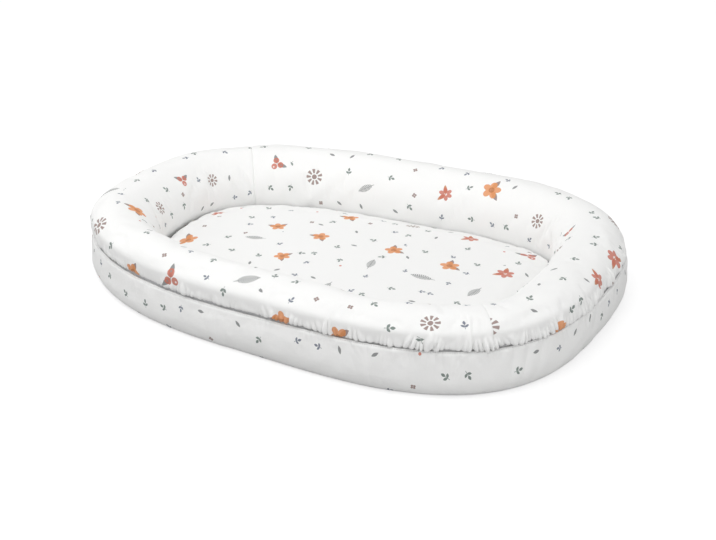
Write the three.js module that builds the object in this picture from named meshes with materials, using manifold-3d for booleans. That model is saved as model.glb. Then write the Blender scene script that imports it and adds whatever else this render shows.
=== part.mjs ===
// Infant lounger: an oval nest with a stuffed ring, a lift-out pad and a cover that zips off.
// Millimetres, +Z up, +X towards the wide head end. It stands on Z = 0, with the origin under its middle.
// Everything that goes round the nest is built on one outline, and a point of a cross-section is
// [inset, height]: how far it lies inside that outline, and how high above the floor.
import * as THREE from "three";
import { mergeVertices } from "three/addons/utils/BufferGeometryUtils.js";
import Module from "manifold-3d";

// The whole nest
const LENGTH = 880;
const WIDTH = 628; // across the middle
const HEIGHT = 119;
const TAPER = 0.073; // share by which the head end is wider, and the foot end narrower, than the middle
const STRAIGHT_HALF = 50; // half the length of the straight part of each side
const HEAD_SQUARENESS = 2.76; // exponent of the oval: 2 is an ellipse, and more is squarer
const FOOT_SQUARENESS = 2.36;
const STATIONS = 52; // straight steps round the nest

// The ring's cross-section
const BOTTOM_TUCK = 14; // how far the band turns in under the ring
const BULGE_HEIGHT = 28; // height at which the band is widest
const GROOVE_DEPTH = 7; // inset of the two fabric edges beside the zip
const ZIP_HEIGHT = 70;
const ZIP_OPENING = 8;
const SHOULDER_INSET = 4;
const SHOULDER_HEIGHT = 84;
const CREST_INSET = 55;
const INNER_INSET = 106; // the inner wall, where it goes down beside the pad
const INNER_BEND_HEIGHT = 29; // height at which the inner wall has turned upright

// Cloths, and the gaps between one layer and the next
const COVER_CLOTH = 1.4;
const LINING_CLOTH = 0.8;
const TAPE_CLOTH = 0.7;
const ELASTIC_THICKNESS = 0.9;
const ELASTIC_WIDTH = 9;
const LAYER_GAP = 0.4;
const SEAM_GAP = 0.6;
const LINING_DEPTH = 3; // from the cover's outer face in to the lining
const LINING_SEAM_HEIGHT = 50;
const WADDING_THICKNESS = 5.6;

// The pad
const PAD_CLEARANCE = 1.6;
const PAD_SIDE_HEIGHT = 24.5;
const PAD_EDGE_RADIUS = 12;
const PAD_FOOT_RADIUS = 6;
const PAD_CROWN = 8; // how far the pad's middle stands above its edge
const PAD_SEAM_SHARE = 0.4; // height of the pad cover's seam, as a share of the side

// The zip, a small nylon coil one that goes all the way round
const COIL_HEIGHT = 1.95;
const COIL_THICKNESS = 1.25;
const COIL_GAP = 0.3;
const ZIP_START_X = -62; // one end of the zip, on the far side
const ZIP_END_GAP = 14; // from there to its other end
const STOP_LENGTH = 3;
const SLIDER_X = -51;
const SLIDER_LENGTH = 9;
const SLIDER_HEIGHT = 6.8;
const SLIDER_PLATE = 1.2;
const SLIDER_LIP = 0.8;
const SLIDER_CLEARANCE = 0.6;
const LUG_THICKNESS = 0.9;
const PIN_RADIUS = 0.7;
const EYE_RADIUS = 1.6;
const EYE_CLEARANCE = 0.25;
const PULL_LENGTH = 24;
const PULL_HEIGHT = 4.4;
const PULL_THICKNESS = 1.3;

// Two seams across the ring cover, as shares of the way round from the tip of the head end
const FOOT_CORNER_SEAM = 0.395;
const HEAD_CORNER_SEAM = 0.895;

const CLOTH_WHITE = "#f6f4f1";
const BAND_WHITE = "#e9e8e6";
const LINING_WHITE = "#f2f2ee";
const FIBRE_WHITE = "#fafaf6";
const FOAM_CREAM = "#f3ecd2";
const ZIP_GREY = "#d2d2d4";
const ELASTIC_WHITE = "#efefef";

// A quarter of the outline before its taper, from the middle of an end to the middle of a side.
function quarterOutline(share, squareness) {
  const curved = 0.85;
  if (share > curved) {
    return [(STRAIGHT_HALF * (1 - share)) / (1 - curved), WIDTH / 2];
  }
  const angle = ((share / curved) * Math.PI) / 2;
  const power = 2 / squareness;
  const across = Math.abs(Math.cos(angle)) ** power;
  return [STRAIGHT_HALF + (LENGTH / 2 - STRAIGHT_HALF) * across, (WIDTH / 2) * Math.sin(angle) ** power];
}

// The outline seen from above, from the tip of the head end round by the far side.
class NestOutline extends THREE.Curve {
  constructor() {
    super();
    this.arcLengthDivisions = 3200;
  }

  getPoint(t, target = new THREE.Vector2()) {
    const quarter = Math.min(Math.floor(4 * t), 3);
    const share = quarter % 2 === 0 ? 4 * t - quarter : 1 + quarter - 4 * t;
    const atHead = quarter === 0 || quarter === 3;
    const [along, across] = quarterOutline(share, atHead ? HEAD_SQUARENESS : FOOT_SQUARENESS);
    const x = atHead ? along : -along;
    const y = quarter < 2 ? across : -across;
    return target.set(x, y * (1 + (TAPER * x) / (LENGTH / 2)));
  }
}

const outline = new NestOutline();
const corners = outline.getSpacedPoints(STATIONS).slice(0, STATIONS);
const outward = corners.map((_, i) => {
  const tangent = outline.getTangentAt(i / STATIONS);
  return new THREE.Vector2(tangent.y, -tangent.x);
});

// The place and the outward direction at a share of the way round, on the straight step it falls on.
function stationAt(share) {
  const steps = (share % 1) * STATIONS;
  const i = Math.floor(steps) % STATIONS;
  const next = (i + 1) % STATIONS;
  return {
    place: corners[i].clone().lerp(corners[next], steps - i),
    out: outward[i].clone().lerp(outward[next], steps - i),
  };
}

// The stations from one share of the way round to another, or once round.
function stationsBetween(from, to) {
  const shares = [from];
  for (let i = Math.floor(from * STATIONS) + 1; i < to * STATIONS - 1e-9; i++) {
    shares.push(i / STATIONS);
  }
  if (to - from < 1) {
    shares.push(to);
  }
  return shares.map(stationAt);
}

// The point at an inset and a height beside a station, drawn in towards the middle of the nest.
function pointBeside({ place, out }, [inset, height], drawnIn = 1) {
  return [(place.x - out.x * inset) * drawnIn, (place.y - out.y * inset) * drawnIn, height];
}

// A closed body of points and triangles, its faces turned to point out.
function closedBody(points, triangles) {
  const [a, b, c] = [new THREE.Vector3(), new THREE.Vector3(), new THREE.Vector3()];
  let volume = 0;
  for (const [i, j, k] of triangles) {
    volume += a.fromArray(points[i]).dot(b.fromArray(points[j]).cross(c.fromArray(points[k])));
  }
  const geometry = new THREE.BufferGeometry();
  geometry.setAttribute("position", new THREE.Float32BufferAttribute(points.flat(), 3));
  geometry.setIndex(triangles.flatMap(([i, j, k]) => (volume < 0 ? [i, k, j] : [i, j, k])));
  geometry.computeVertexNormals();
  return geometry;
}

// Two triangles for each square between one closed row of points and the next.
function strip(rowLength, firstRow, nextRow) {
  const triangles = [];
  for (let j = 0; j < rowLength; j++) {
    const k = (j + 1) % rowLength;
    triangles.push([firstRow + j, nextRow + j, nextRow + k], [firstRow + j, nextRow + k, firstRow + k]);
  }
  return triangles;
}

// A closed cross-section carried round the nest, once round or from one share of the way to another.
function carriedRound(section, from = 0, to = 1) {
  const flat = section.map(([inset, height]) => new THREE.Vector2(inset, height));
  const loop = THREE.ShapeUtils.isClockWise(flat) ? flat.reverse() : flat;
  const size = loop.length;
  const stations = stationsBetween(from, to);
  const points = stations.flatMap((station) => loop.map((p) => pointBeside(station, p.toArray())));
  const triangles = [];
  for (let i = 0; i < stations.length - 1; i++) {
    triangles.push(...strip(size, i * size, (i + 1) * size));
  }
  const last = (stations.length - 1) * size;
  if (to - from === 1) {
    triangles.push(...strip(size, last, 0));
  } else {
    const end = THREE.ShapeUtils.triangulateShape(loop, []);
    triangles.push(...end, ...end.map(([i, j, k]) => [last + i, last + k, last + j]));
  }
  return closedBody(points, triangles);
}

// A body of contours one after another, closed by a point in the middle before the first and after the
// last. A contour is [inset, height, share drawn in towards the middle].
function contoured(contours, firstHeight, lastHeight) {
  const stations = stationsBetween(0, 1);
  const points = contours.flatMap(([inset, height, drawnIn = 1]) =>
    stations.map((station) => pointBeside(station, [inset, height], drawnIn)),
  );
  const triangles = [];
  for (let i = 0; i < contours.length - 1; i++) {
    triangles.push(...strip(STATIONS, i * STATIONS, (i + 1) * STATIONS));
  }
  const first = points.push([0, 0, firstHeight]) - 1;
  const last = points.push([0, 0, lastHeight]) - 1;
  const end = (contours.length - 1) * STATIONS;
  for (let j = 0; j < STATIONS; j++) {
    const k = (j + 1) % STATIONS;
    triangles.push([j, k, first], [end + k, end + j, last]);
  }
  return closedBody(points, triangles);
}

// A flat sheet inside an inset, from one height up to another.
function flatSheet(inset, low, high) {
  return contoured(
    [
      [inset, low],
      [inset, high],
    ],
    low,
    high,
  );
}

// The points of a quarter of an ellipse after its first: it sets off along the inset, or straight up.
function quarterArc([u0, z0], [u1, z1], steps, alongInsetFirst) {
  const points = [];
  for (let i = 1; i <= steps; i++) {
    const angle = ((i / steps) * Math.PI) / 2;
    const early = Math.sin(angle);
    const late = 1 - Math.cos(angle);
    const [du, dz] = alongInsetFirst ? [early, late] : [late, early];
    points.push([u0 + (u1 - u0) * du, z0 + (z1 - z0) * dz]);
  }
  return points;
}

// The point at a share of the way from one point to another.
function between([u0, z0], [u1, z1], share) {
  return [u0 + (u1 - u0) * share, z0 + (z1 - z0) * share];
}

// A line of points moved sideways, to the right of the way it runs.
function movedRight(line, distance, closed = false) {
  const count = line.length;
  return line.map((here, i) => {
    const before = closed ? line[(i + count - 1) % count] : line[i - 1];
    const after = closed ? line[(i + 1) % count] : line[i + 1];
    const sides = [
      [before, here],
      [here, after],
    ]
      .filter(([a, b]) => a && b)
      .map(([a, b]) => new THREE.Vector2(b[1] - a[1], a[0] - b[0]).normalize());
    const mean = sides.reduce((sum, side) => sum.add(side), new THREE.Vector2()).divideScalar(sides.length);
    const move = mean.multiplyScalar(distance / mean.lengthSq());
    return [here[0] + move.x, here[1] + move.y];
  });
}

// A cloth's closed section: its outer face along a line of points, its thickness to the right of it.
function clothSection(line, thickness) {
  return [...line, ...movedRight(line, thickness).reverse()];
}

// The ring's outer face: the band from the floor up to the zip, and the cover from the zip over the
// crest and down beside the pad.
const bandFoot = [BOTTOM_TUCK, 0.6];
const bandBulge = [0, BULGE_HEIGHT];
const bandEdge = [GROOVE_DEPTH, ZIP_HEIGHT - ZIP_OPENING / 2];
const coverEdge = [GROOVE_DEPTH, ZIP_HEIGHT + ZIP_OPENING / 2];
const shoulder = [SHOULDER_INSET, SHOULDER_HEIGHT];
const crest = [CREST_INSET, HEIGHT];
const innerBend = [INNER_INSET, INNER_BEND_HEIGHT];

function bandLine(steps) {
  const under = quarterArc(bandFoot, bandBulge, 2, true);
  return [bandFoot, ...under, ...quarterArc(bandBulge, bandEdge, steps, false)];
}

function coverLine(steps, wallFoot) {
  const margin = quarterArc(coverEdge, shoulder, Math.ceil(steps / 2), true);
  const over = quarterArc(shoulder, crest, steps, false);
  const down = quarterArc(crest, innerBend, steps, true);
  return [coverEdge, ...margin, ...over, ...down, [INNER_INSET, wallFoot]];
}

// Heights of the layers under the pad
const waddingFoot = COVER_CLOTH + LAYER_GAP;
const floorFoot = waddingFoot + WADDING_THICKNESS + LAYER_GAP;
const padFoot = floorFoot + COVER_CLOTH + LAYER_GAP;

// The ring's inner layers follow its outer face, in fewer steps
const ringLoop = [...bandLine(2), ...coverLine(3, 0)];
const liningLoop = movedRight(ringLoop, LINING_DEPTH, true);
const fillingLoop = movedRight(ringLoop, LINING_DEPTH + LINING_CLOTH + LAYER_GAP, true);

// The stretch of a closed line above or below a height, with both its ends on that height.
function cutAtHeight(loop, height, above) {
  const kept = ([, z]) => (above ? z > height : z < height);
  const crossing = (a, b) => between(a, b, (height - a[1]) / (b[1] - a[1]));
  const start = loop.findIndex((p, i) => kept(p) && !kept(loop.at(i - 1)));
  const turned = [...loop.slice(start), ...loop.slice(0, start)];
  const end = turned.findIndex((p) => !kept(p));
  const stretch = turned.slice(0, end);
  return [crossing(turned.at(-1), turned[0]), ...stretch, crossing(turned[end - 1], turned[end])];
}

// The pad's upper skin in contours from the middle out, moved in by a depth and down to a height.
function padUpper(depth, downTo) {
  const edgeInset = padInset + PAD_EDGE_RADIUS;
  const radius = PAD_EDGE_RADIUS - depth;
  const edgeHeight = padTop - PAD_EDGE_RADIUS;
  const crowned = (share) => [edgeInset, padTop - depth + PAD_CROWN * (1 - share ** 3), share];
  const contours = [0.35, 0.7].map(crowned);
  for (const angle of [0, Math.PI / 6, Math.PI / 3, Math.PI / 2]) {
    contours.push([edgeInset - radius * Math.sin(angle), edgeHeight + radius * Math.cos(angle)]);
  }
  return [...contours, [padInset + depth, downTo]];
}

// The pad's lower skin in contours from the middle out, moved in by a depth and up to a height.
function padLower(depth, upTo) {
  const radius = PAD_FOOT_RADIUS - depth;
  const contours = [0, Math.PI / 4, Math.PI / 2].map((angle) => [
    padInset + PAD_FOOT_RADIUS - radius * Math.sin(angle),
    padFoot + PAD_FOOT_RADIUS - radius * Math.cos(angle),
  ]);
  return [...contours, [padInset + depth, upTo]];
}

const padInset = INNER_INSET + PAD_CLEARANCE;
const padTop = padFoot + PAD_SIDE_HEIGHT;
const padSeam = padFoot + PAD_SIDE_HEIGHT * PAD_SEAM_SHARE;

// The zip's layers, behind the opening between the two fabric edges
const tapeInset = GROOVE_DEPTH + COVER_CLOTH + LAYER_GAP;
const coilInset = tapeInset - 0.3 - COIL_THICKNESS;
const plateInset = coilInset - SLIDER_CLEARANCE;
const pinInset = plateInset - SLIDER_PLATE - EYE_RADIUS - 0.3;

// A tape follows the back of the fabric that it is sewn to.
function tapeSection(fabricLine) {
  return clothSection(movedRight(fabricLine, COVER_CLOTH + LAYER_GAP), TAPE_CLOTH);
}

function coilSection(side) {
  const low = ZIP_HEIGHT + (side * (COIL_GAP + COIL_HEIGHT)) / 2 - COIL_HEIGHT / 2;
  return [
    [coilInset, low],
    [coilInset, low + COIL_HEIGHT],
    [coilInset + COIL_THICKNESS, low + COIL_HEIGHT],
    [coilInset + COIL_THICKNESS, low],
  ];
}

// The small pieces of the zip are joined of simple blocks, so each block is first made a solid.
const wasm = await Module();
wasm.setup();

function solidOf(geometry) {
  const bare = geometry.clone();
  bare.deleteAttribute("normal");
  bare.deleteAttribute("uv");
  const merged = mergeVertices(bare, 1e-4);
  return new wasm.Manifold(
    new wasm.Mesh({
      numProp: 3,
      vertProperties: merged.attributes.position.array,
      triVerts: new Uint32Array(merged.index.array),
    }),
  );
}

function joined(...geometries) {
  const mesh = geometries
    .map(solidOf)
    .reduce((a, b) => a.add(b))
    .getMesh();
  const geometry = new THREE.BufferGeometry();
  geometry.setAttribute("position", new THREE.BufferAttribute(mesh.vertProperties, 3));
  geometry.setIndex(new THREE.BufferAttribute(mesh.triVerts, 1));
  geometry.computeVertexNormals();
  return geometry;
}

// A block of the zip beside the outline: its length, its insets from front to back, and its heights.
function zipBlock(length, front, back, low, high) {
  const block = new THREE.BoxGeometry(length, back - front, high - low);
  return block.translate(0, -(front + back) / 2, ZIP_HEIGHT + (low + high) / 2);
}

// The slider rides the coils from in front: a plate with two lips, and two lugs with a pin for the pull.
function sliderGeometry() {
  const half = SLIDER_HEIGHT / 2;
  const plateFront = plateInset - SLIDER_PLATE;
  const lipBack = coilInset + COIL_THICKNESS - 0.2;
  const lugFront = pinInset - PIN_RADIUS - 0.5;
  const pin = new THREE.CylinderGeometry(PIN_RADIUS, PIN_RADIUS, SLIDER_HEIGHT - 0.6, 16);
  return joined(
    zipBlock(SLIDER_LENGTH, plateFront, plateInset, -half, half),
    zipBlock(SLIDER_LENGTH, plateInset - 0.1, lipBack, half - SLIDER_LIP, half),
    zipBlock(SLIDER_LENGTH, plateInset - 0.1, lipBack, -half, SLIDER_LIP - half),
    zipBlock(EYE_RADIUS * 2, lugFront, plateFront + 0.1, half - LUG_THICKNESS, half),
    zipBlock(EYE_RADIUS * 2, lugFront, plateFront + 0.1, -half, LUG_THICKNESS - half),
    pin.rotateX(Math.PI / 2).translate(0, -pinInset, ZIP_HEIGHT),
  );
}

// The pull is a tag with an eye round the slider's pin, and lies back along the zip.
function pullGeometry() {
  const half = PULL_THICKNESS / 2;
  const neck = Math.asin(half / EYE_RADIUS);
  const tag = new THREE.Shape();
  tag.absarc(0, 0, EYE_RADIUS, neck - Math.PI, Math.PI - neck, false);
  tag.lineTo(half - PULL_LENGTH, half);
  tag.absarc(half - PULL_LENGTH, 0, half, Math.PI / 2, (3 * Math.PI) / 2, false);
  tag.closePath();
  tag.holes.push(new THREE.Path().absarc(0, 0, PIN_RADIUS + EYE_CLEARANCE, 0, 2 * Math.PI, true));
  const options = { depth: PULL_HEIGHT, bevelEnabled: false, curveSegments: 8 };
  const pull = joined(new THREE.ExtrudeGeometry(tag, options));
  return pull.translate(0, -pinInset, ZIP_HEIGHT - PULL_HEIGHT / 2);
}

// The share of the way round at which the far side comes to an X.
function farShareAt(x) {
  let share = 0.1;
  while (stationAt(share).place.x > x) {
    share += 0.0001;
  }
  return share;
}

const lounger = new THREE.Group();

function add(name, geometry, colour, roughness = 0.9) {
  const mesh = new THREE.Mesh(geometry, new THREE.MeshStandardMaterial({ color: colour, roughness }));
  mesh.name = name;
  lounger.add(mesh);
  return mesh;
}

// A small piece of the zip, set on the far side's straight part at an X.
function addToZip(name, geometry, x) {
  const mesh = add(name, geometry, ZIP_GREY, 0.5);
  mesh.position.set(x, (WIDTH / 2) * (1 + (TAPER * x) / (LENGTH / 2)), 0);
  mesh.rotation.z = Math.atan((TAPER * WIDTH) / LENGTH);
}

// The outer cover: the base, the band, the ring cover in two panels, and the floor under the pad
add("base_panel", flatSheet(BOTTOM_TUCK + COVER_CLOTH + LAYER_GAP, 0, COVER_CLOTH), BAND_WHITE);
add("side_band", carriedRound(clothSection(bandLine(3), COVER_CLOTH)), BAND_WHITE);
const coverSection = clothSection(coverLine(4, padFoot), COVER_CLOTH);
const seamHalf = SEAM_GAP / 2 / outline.getLength();
const nearPanel = carriedRound(coverSection, FOOT_CORNER_SEAM + seamHalf, HEAD_CORNER_SEAM - seamHalf);
const farPanel = carriedRound(coverSection, HEAD_CORNER_SEAM + seamHalf, 1 + FOOT_CORNER_SEAM - seamHalf);
add("ring_cover_near", nearPanel, CLOTH_WHITE);
add("ring_cover_far", farPanel, CLOTH_WHITE);
const wellFloor = flatSheet(INNER_INSET - COVER_CLOTH, floorFoot, floorFoot + COVER_CLOTH);
add("well_floor_panel", wellFloor, CLOTH_WHITE);
add("base_wadding", flatSheet(INNER_INSET, waddingFoot, waddingFoot + WADDING_THICKNESS), FIBRE_WHITE);

// Inside the ring: the fibre filling, its lining in two halves, and the elastic that gathers the cover
add("ring_filling", carriedRound(fillingLoop), FIBRE_WHITE);
const upperLining = cutAtHeight(liningLoop, LINING_SEAM_HEIGHT + LAYER_GAP / 2, true);
const lowerLining = cutAtHeight(liningLoop, LINING_SEAM_HEIGHT - LAYER_GAP / 2, false);
add("ring_lining_upper", carriedRound(clothSection(upperLining, LINING_CLOTH)), LINING_WHITE);
add("ring_lining_lower", carriedRound(clothSection(lowerLining, LINING_CLOTH)), LINING_WHITE);
const [aboveShoulder] = quarterArc(shoulder, crest, 4, false);
const elasticShare = ELASTIC_WIDTH / (aboveShoulder[1] - shoulder[1]);
const elasticLine = [0.1, 0.1 + elasticShare].map((share) => between(shoulder, aboveShoulder, share));
const elasticBack = movedRight(elasticLine, COVER_CLOTH + LAYER_GAP);
add("gather_elastic", carriedRound(clothSection(elasticBack, ELASTIC_THICKNESS)), ELASTIC_WHITE, 0.7);

// The zip: a tape and a coil on each side of the opening, two stops, the slider and its pull
const bandTop = bandLine(3).slice(-2);
const coverMargin = [coverEdge, ...quarterArc(coverEdge, shoulder, 2, true)];
const lowerTape = [...bandTop, [GROOVE_DEPTH, ZIP_HEIGHT - COIL_GAP / 2]];
const upperTape = [[GROOVE_DEPTH, ZIP_HEIGHT + COIL_GAP / 2], ...coverMargin];
add("zip_tape_lower", carriedRound(tapeSection(lowerTape)), ZIP_GREY);
add("zip_tape_upper", carriedRound(tapeSection(upperTape)), ZIP_GREY);
const coilFrom = farShareAt(ZIP_START_X - ZIP_END_GAP);
const coilTo = farShareAt(ZIP_START_X) + 1;
add("zip_coil_lower", carriedRound(coilSection(-1), coilFrom, coilTo), ZIP_GREY, 0.5);
add("zip_coil_upper", carriedRound(coilSection(1), coilFrom, coilTo), ZIP_GREY, 0.5);
const stop = zipBlock(STOP_LENGTH, coilInset, coilInset + COIL_THICKNESS, -COIL_HEIGHT, COIL_HEIGHT);
const stopOffset = STOP_LENGTH / 2 + LAYER_GAP;
addToZip("zip_stop_start", stop, ZIP_START_X - stopOffset);
addToZip("zip_stop_end", stop.clone(), ZIP_START_X - ZIP_END_GAP + stopOffset);
addToZip("zip_slider", sliderGeometry(), SLIDER_X);
addToZip("zip_pull", pullGeometry(), SLIDER_X);

// The pad: a core in a cover of two halves
const skinTop = padTop + PAD_CROWN;
const upperSkin = [...padUpper(0, padSeam + 0.2), ...padUpper(COVER_CLOTH, padSeam + 0.2).reverse()];
const lowerSkin = [...padLower(0, padSeam - 0.2), ...padLower(COVER_CLOTH, padSeam - 0.2).reverse()];
const coreDepth = COVER_CLOTH + LAYER_GAP;
const core = [...padLower(coreDepth, padSeam), ...padUpper(coreDepth, padSeam).slice(0, -1).reverse()];
add("pad_cover_top", contoured(upperSkin, skinTop, skinTop - COVER_CLOTH), CLOTH_WHITE);
add("pad_cover_base", contoured(lowerSkin, padFoot, padFoot + COVER_CLOTH), BAND_WHITE);
add("pad_core", contoured(core, padFoot + coreDepth, skinTop - coreDepth), FOAM_CREAM);

export default lounger;
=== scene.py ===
# %% [markdown]
# An infant lounger in Blender
#
# A soft nest for a baby: a stuffed ring round a shallow well, a crowned pad in the well, and a cotton cover
# that zips off along a line round the outside. The solids of every piece are already made and packed, and
# they fix where everything sits. This script dresses them: it makes the cloths, gives each surface its
# finish, and sets camera and light. Lengths are in metres, and MM turns millimetres into them.

# %% The frame
import math

import bmesh
import bpy
import numpy as np
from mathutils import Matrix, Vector


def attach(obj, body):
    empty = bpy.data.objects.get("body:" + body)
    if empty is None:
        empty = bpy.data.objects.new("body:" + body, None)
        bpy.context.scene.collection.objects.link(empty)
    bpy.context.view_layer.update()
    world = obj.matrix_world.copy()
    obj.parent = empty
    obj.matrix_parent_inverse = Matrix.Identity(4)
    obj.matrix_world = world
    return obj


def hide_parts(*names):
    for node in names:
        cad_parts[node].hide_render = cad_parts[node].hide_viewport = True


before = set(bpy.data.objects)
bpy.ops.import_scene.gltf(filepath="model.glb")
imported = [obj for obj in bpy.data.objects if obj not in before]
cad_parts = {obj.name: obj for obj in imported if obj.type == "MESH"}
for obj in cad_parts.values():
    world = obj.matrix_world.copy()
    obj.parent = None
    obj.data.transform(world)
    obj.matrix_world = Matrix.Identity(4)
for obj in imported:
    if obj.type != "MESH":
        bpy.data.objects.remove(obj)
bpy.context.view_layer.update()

MM = 0.001

# %% [markdown]
# The camera comes first, because every look at a piece needs it. The picture was taken from the nest's right
# and above, with a long lens. A camera could be aimed by hand until the view looks right, but two angles, a
# distance and a lens can be fitted to the picture and then stay put. The nest doesn't lie in the middle of
# the frame. The lens is shifted for that instead of the camera turned, which would change the perspective.

# %% Camera
AZIMUTH = math.radians(28.91)
ELEVATION = math.radians(23.89)
CAMERA_DISTANCE = 2.403
CAMERA_AIM = Vector((0, 0, 0.06))
PICTURE_WIDTH = 716
FOCAL_PIXELS = 1476.7
SHIFT = (0.01508, -0.0356)
SENSOR = 36

level = math.cos(ELEVATION)
towards_camera = Vector((math.sin(AZIMUTH) * level, -math.cos(AZIMUTH) * level, math.sin(ELEVATION)))
bpy.ops.object.camera_add(location=CAMERA_AIM + towards_camera * CAMERA_DISTANCE)
camera = bpy.context.object
camera.rotation_euler = (-towards_camera).to_track_quat("-Z", "Y").to_euler()
camera.data.sensor_width = SENSOR
camera.data.lens = FOCAL_PIXELS / PICTURE_WIDTH * SENSOR
camera.data.shift_x, camera.data.shift_y = SHIFT
bpy.context.scene.camera = camera
print("lens", round(camera.data.lens, 1), "mm")

# %% [markdown]
# The light is a studio's: a big soft lamp overhead, a smaller one at the left, and two weak ones low at the
# right and in front. These two light the upright side, and are too low to reach into the well. Faces that
# look up come out nearly white, and upright ones light grey. One small lamp or a sun would be simpler, but
# its hard shadows would show every pucker as a dark line.

# %% Lamps
LAMPS = {
    "overhead_lamp": {"place": (-0.3, -0.6, 2.2), "size": 2.0, "power": 18.6},
    "left_lamp": {"place": (-2.0, -0.9, 1.0), "size": 0.9, "power": 5.5},
    "low_right_lamp": {"place": (2.1, -0.9, 0.35), "size": 0.6, "power": 4.5},
    "low_front_lamp": {"place": (0.7, -2.2, 0.35), "size": 0.6, "power": 2.5},
}


def soft_lamp(place, size, power):
    """A round lamp of that width in metres and power in watts, looking at the nest."""
    bpy.ops.object.light_add(type="AREA", location=place)
    lamp = bpy.context.object
    lamp.data.shape = "DISK"
    lamp.data.size = size
    lamp.data.energy = power
    lamp.rotation_euler = (-Vector(place)).to_track_quat("-Z", "Y").to_euler()
    return lamp


bpy.context.scene.view_settings.view_transform = "Standard"
for name, settings in LAMPS.items():
    soft_lamp(**settings).name = name
print("the lamps give", sum(settings["power"] for settings in LAMPS.values()), "W")

# %% [markdown]
# Between the lamps, light comes back from the walls. The world stands for them: a plain white room, a little
# brighter on the camera's side. To the camera and in reflections it is full white, but it lights the nest
# less than that, so the cloth keeps its shades. The floor is paper. White paint alone would come out grey
# beside the nest, so the paper also glows a little, for the camera alone. It turns white that way, still
# takes the nest's shadow, and throws no more light on the nest.

# %% The room
ROOM_STRENGTH = 0.68
FRONT_SHARE = 0.15
WHITE = (1, 1, 1, 1)


def most_of(tree, sockets):
    """The greatest of several outputs."""
    total = sockets[0]
    for socket in sockets[1:]:
        step = tree.nodes.new("ShaderNodeMath")
        step.operation = "MAXIMUM"
        tree.links.new(total, step.inputs[0])
        tree.links.new(socket, step.inputs[1])
        total = step.outputs[0]
    return total


world = bpy.data.worlds.new("studio")
bpy.context.scene.world = world
world.use_nodes = True
tree = world.node_tree
lit = tree.nodes["Background"]
lit.inputs["Color"].default_value = WHITE
white = tree.nodes.new("ShaderNodeBackground")
white.inputs["Color"].default_value = WHITE
rays = tree.nodes.new("ShaderNodeLightPath")
seen = most_of(tree, [rays.outputs[f"Is {kind} Ray"] for kind in ("Camera", "Glossy", "Transmission")])
either = tree.nodes.new("ShaderNodeMixShader")
facing = tree.nodes.new("ShaderNodeVectorMath")
facing.operation = "DOT_PRODUCT"
facing.inputs[1].default_value = (math.sin(AZIMUTH), -math.cos(AZIMUTH), 0)
tree.links.new(tree.nodes.new("ShaderNodeTexCoord").outputs["Generated"], facing.inputs[0])
graded = tree.nodes.new("ShaderNodeMath")
graded.operation = "MULTIPLY_ADD"
graded.inputs[1].default_value = ROOM_STRENGTH * FRONT_SHARE
graded.inputs[2].default_value = ROOM_STRENGTH
tree.links.new(facing.outputs["Value"], graded.inputs[0])
tree.links.new(graded.outputs[0], lit.inputs["Strength"])
tree.links.new(seen, either.inputs[0])
tree.links.new(lit.outputs[0], either.inputs[1])
tree.links.new(white.outputs[0], either.inputs[2])
tree.links.new(either.outputs[0], tree.nodes["World Output"].inputs["Surface"])
print("the room gives", ROOM_STRENGTH, "of full white, and", FRONT_SHARE, "of that more from the front")

# %% Floor
FLOOR_SIZE = 14
PAPER_GREY = (0.42, 0.42, 0.42, 1)
PAPER_ROUGHNESS = 0.9
FLOOR_GLOW = 0.66

bpy.ops.mesh.primitive_plane_add(size=FLOOR_SIZE, location=(0, 0, 0))
floor = bpy.context.object
floor.name = "studio_floor"
paper = bpy.data.materials.new("white_paper")
paper.use_nodes = True
tree = paper.node_tree
surface = tree.nodes["Principled BSDF"]
surface.inputs["Base Color"].default_value = PAPER_GREY
surface.inputs["Roughness"].default_value = PAPER_ROUGHNESS
surface.inputs["Emission Color"].default_value = WHITE
rays = tree.nodes.new("ShaderNodeLightPath")
glow = tree.nodes.new("ShaderNodeMath")
glow.operation = "MULTIPLY"
glow.inputs[1].default_value = FLOOR_GLOW
tree.links.new(rays.outputs["Is Camera Ray"], glow.inputs[0])
tree.links.new(glow.outputs[0], surface.inputs["Emission Strength"])
floor.data.materials.append(paper)
print("the floor is", FLOOR_SIZE, "m wide")

# %% [markdown]
# Everything that goes round the nest follows one outline, an oval with squared ends that is a little wider
# at the head. It could be drawn as a Bezier curve with its handles set by eye. A superellipse, the curve
# between an ellipse and a rectangle, needs only a few sizes instead, and is smooth all round. A straight
# stretch is let in on each side. Points are taken from it at even steps, each with its way out.

# %% The nest's outline
LENGTH = 0.880
WIDTH = 0.628
TAPER = 0.073
STRAIGHT_HALF = 0.050
HEAD_SQUARENESS = 2.76
FOOT_SQUARENESS = 2.36
STATIONS = 2240
TRIAL_POINTS = 20001


def nest_outline(count):
    """Even points round the nest from the tip of the head end, the way out at each, and the way round."""
    angle = np.linspace(0, 2 * np.pi, TRIAL_POINTS)
    across, up = np.cos(angle), np.sin(angle)
    power = 2 / np.where(across > 0, HEAD_SQUARENESS, FOOT_SQUARENESS)
    x = np.sign(across) * (STRAIGHT_HALF + (LENGTH / 2 - STRAIGHT_HALF) * np.abs(across) ** power)
    y = np.sign(up) * WIDTH / 2 * np.abs(up) ** power * (1 + TAPER * x / (LENGTH / 2))
    travelled = np.concatenate([[0], np.cumsum(np.hypot(np.diff(x), np.diff(y)))])
    even = np.linspace(0, travelled[-1], count, endpoint=False)
    points = np.stack([np.interp(even, travelled, x), np.interp(even, travelled, y)], axis=1)
    ahead = np.roll(points, -1, axis=0) - np.roll(points, 1, axis=0)
    ahead /= np.linalg.norm(ahead, axis=1)[:, None]
    return points, np.stack([ahead[:, 1], -ahead[:, 0]], axis=1), travelled[-1]


places, ways_out, ROUND = nest_outline(STATIONS)
share_round = np.arange(STATIONS) / STATIONS
print("the outline is", round(ROUND, 3), "m round")

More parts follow.
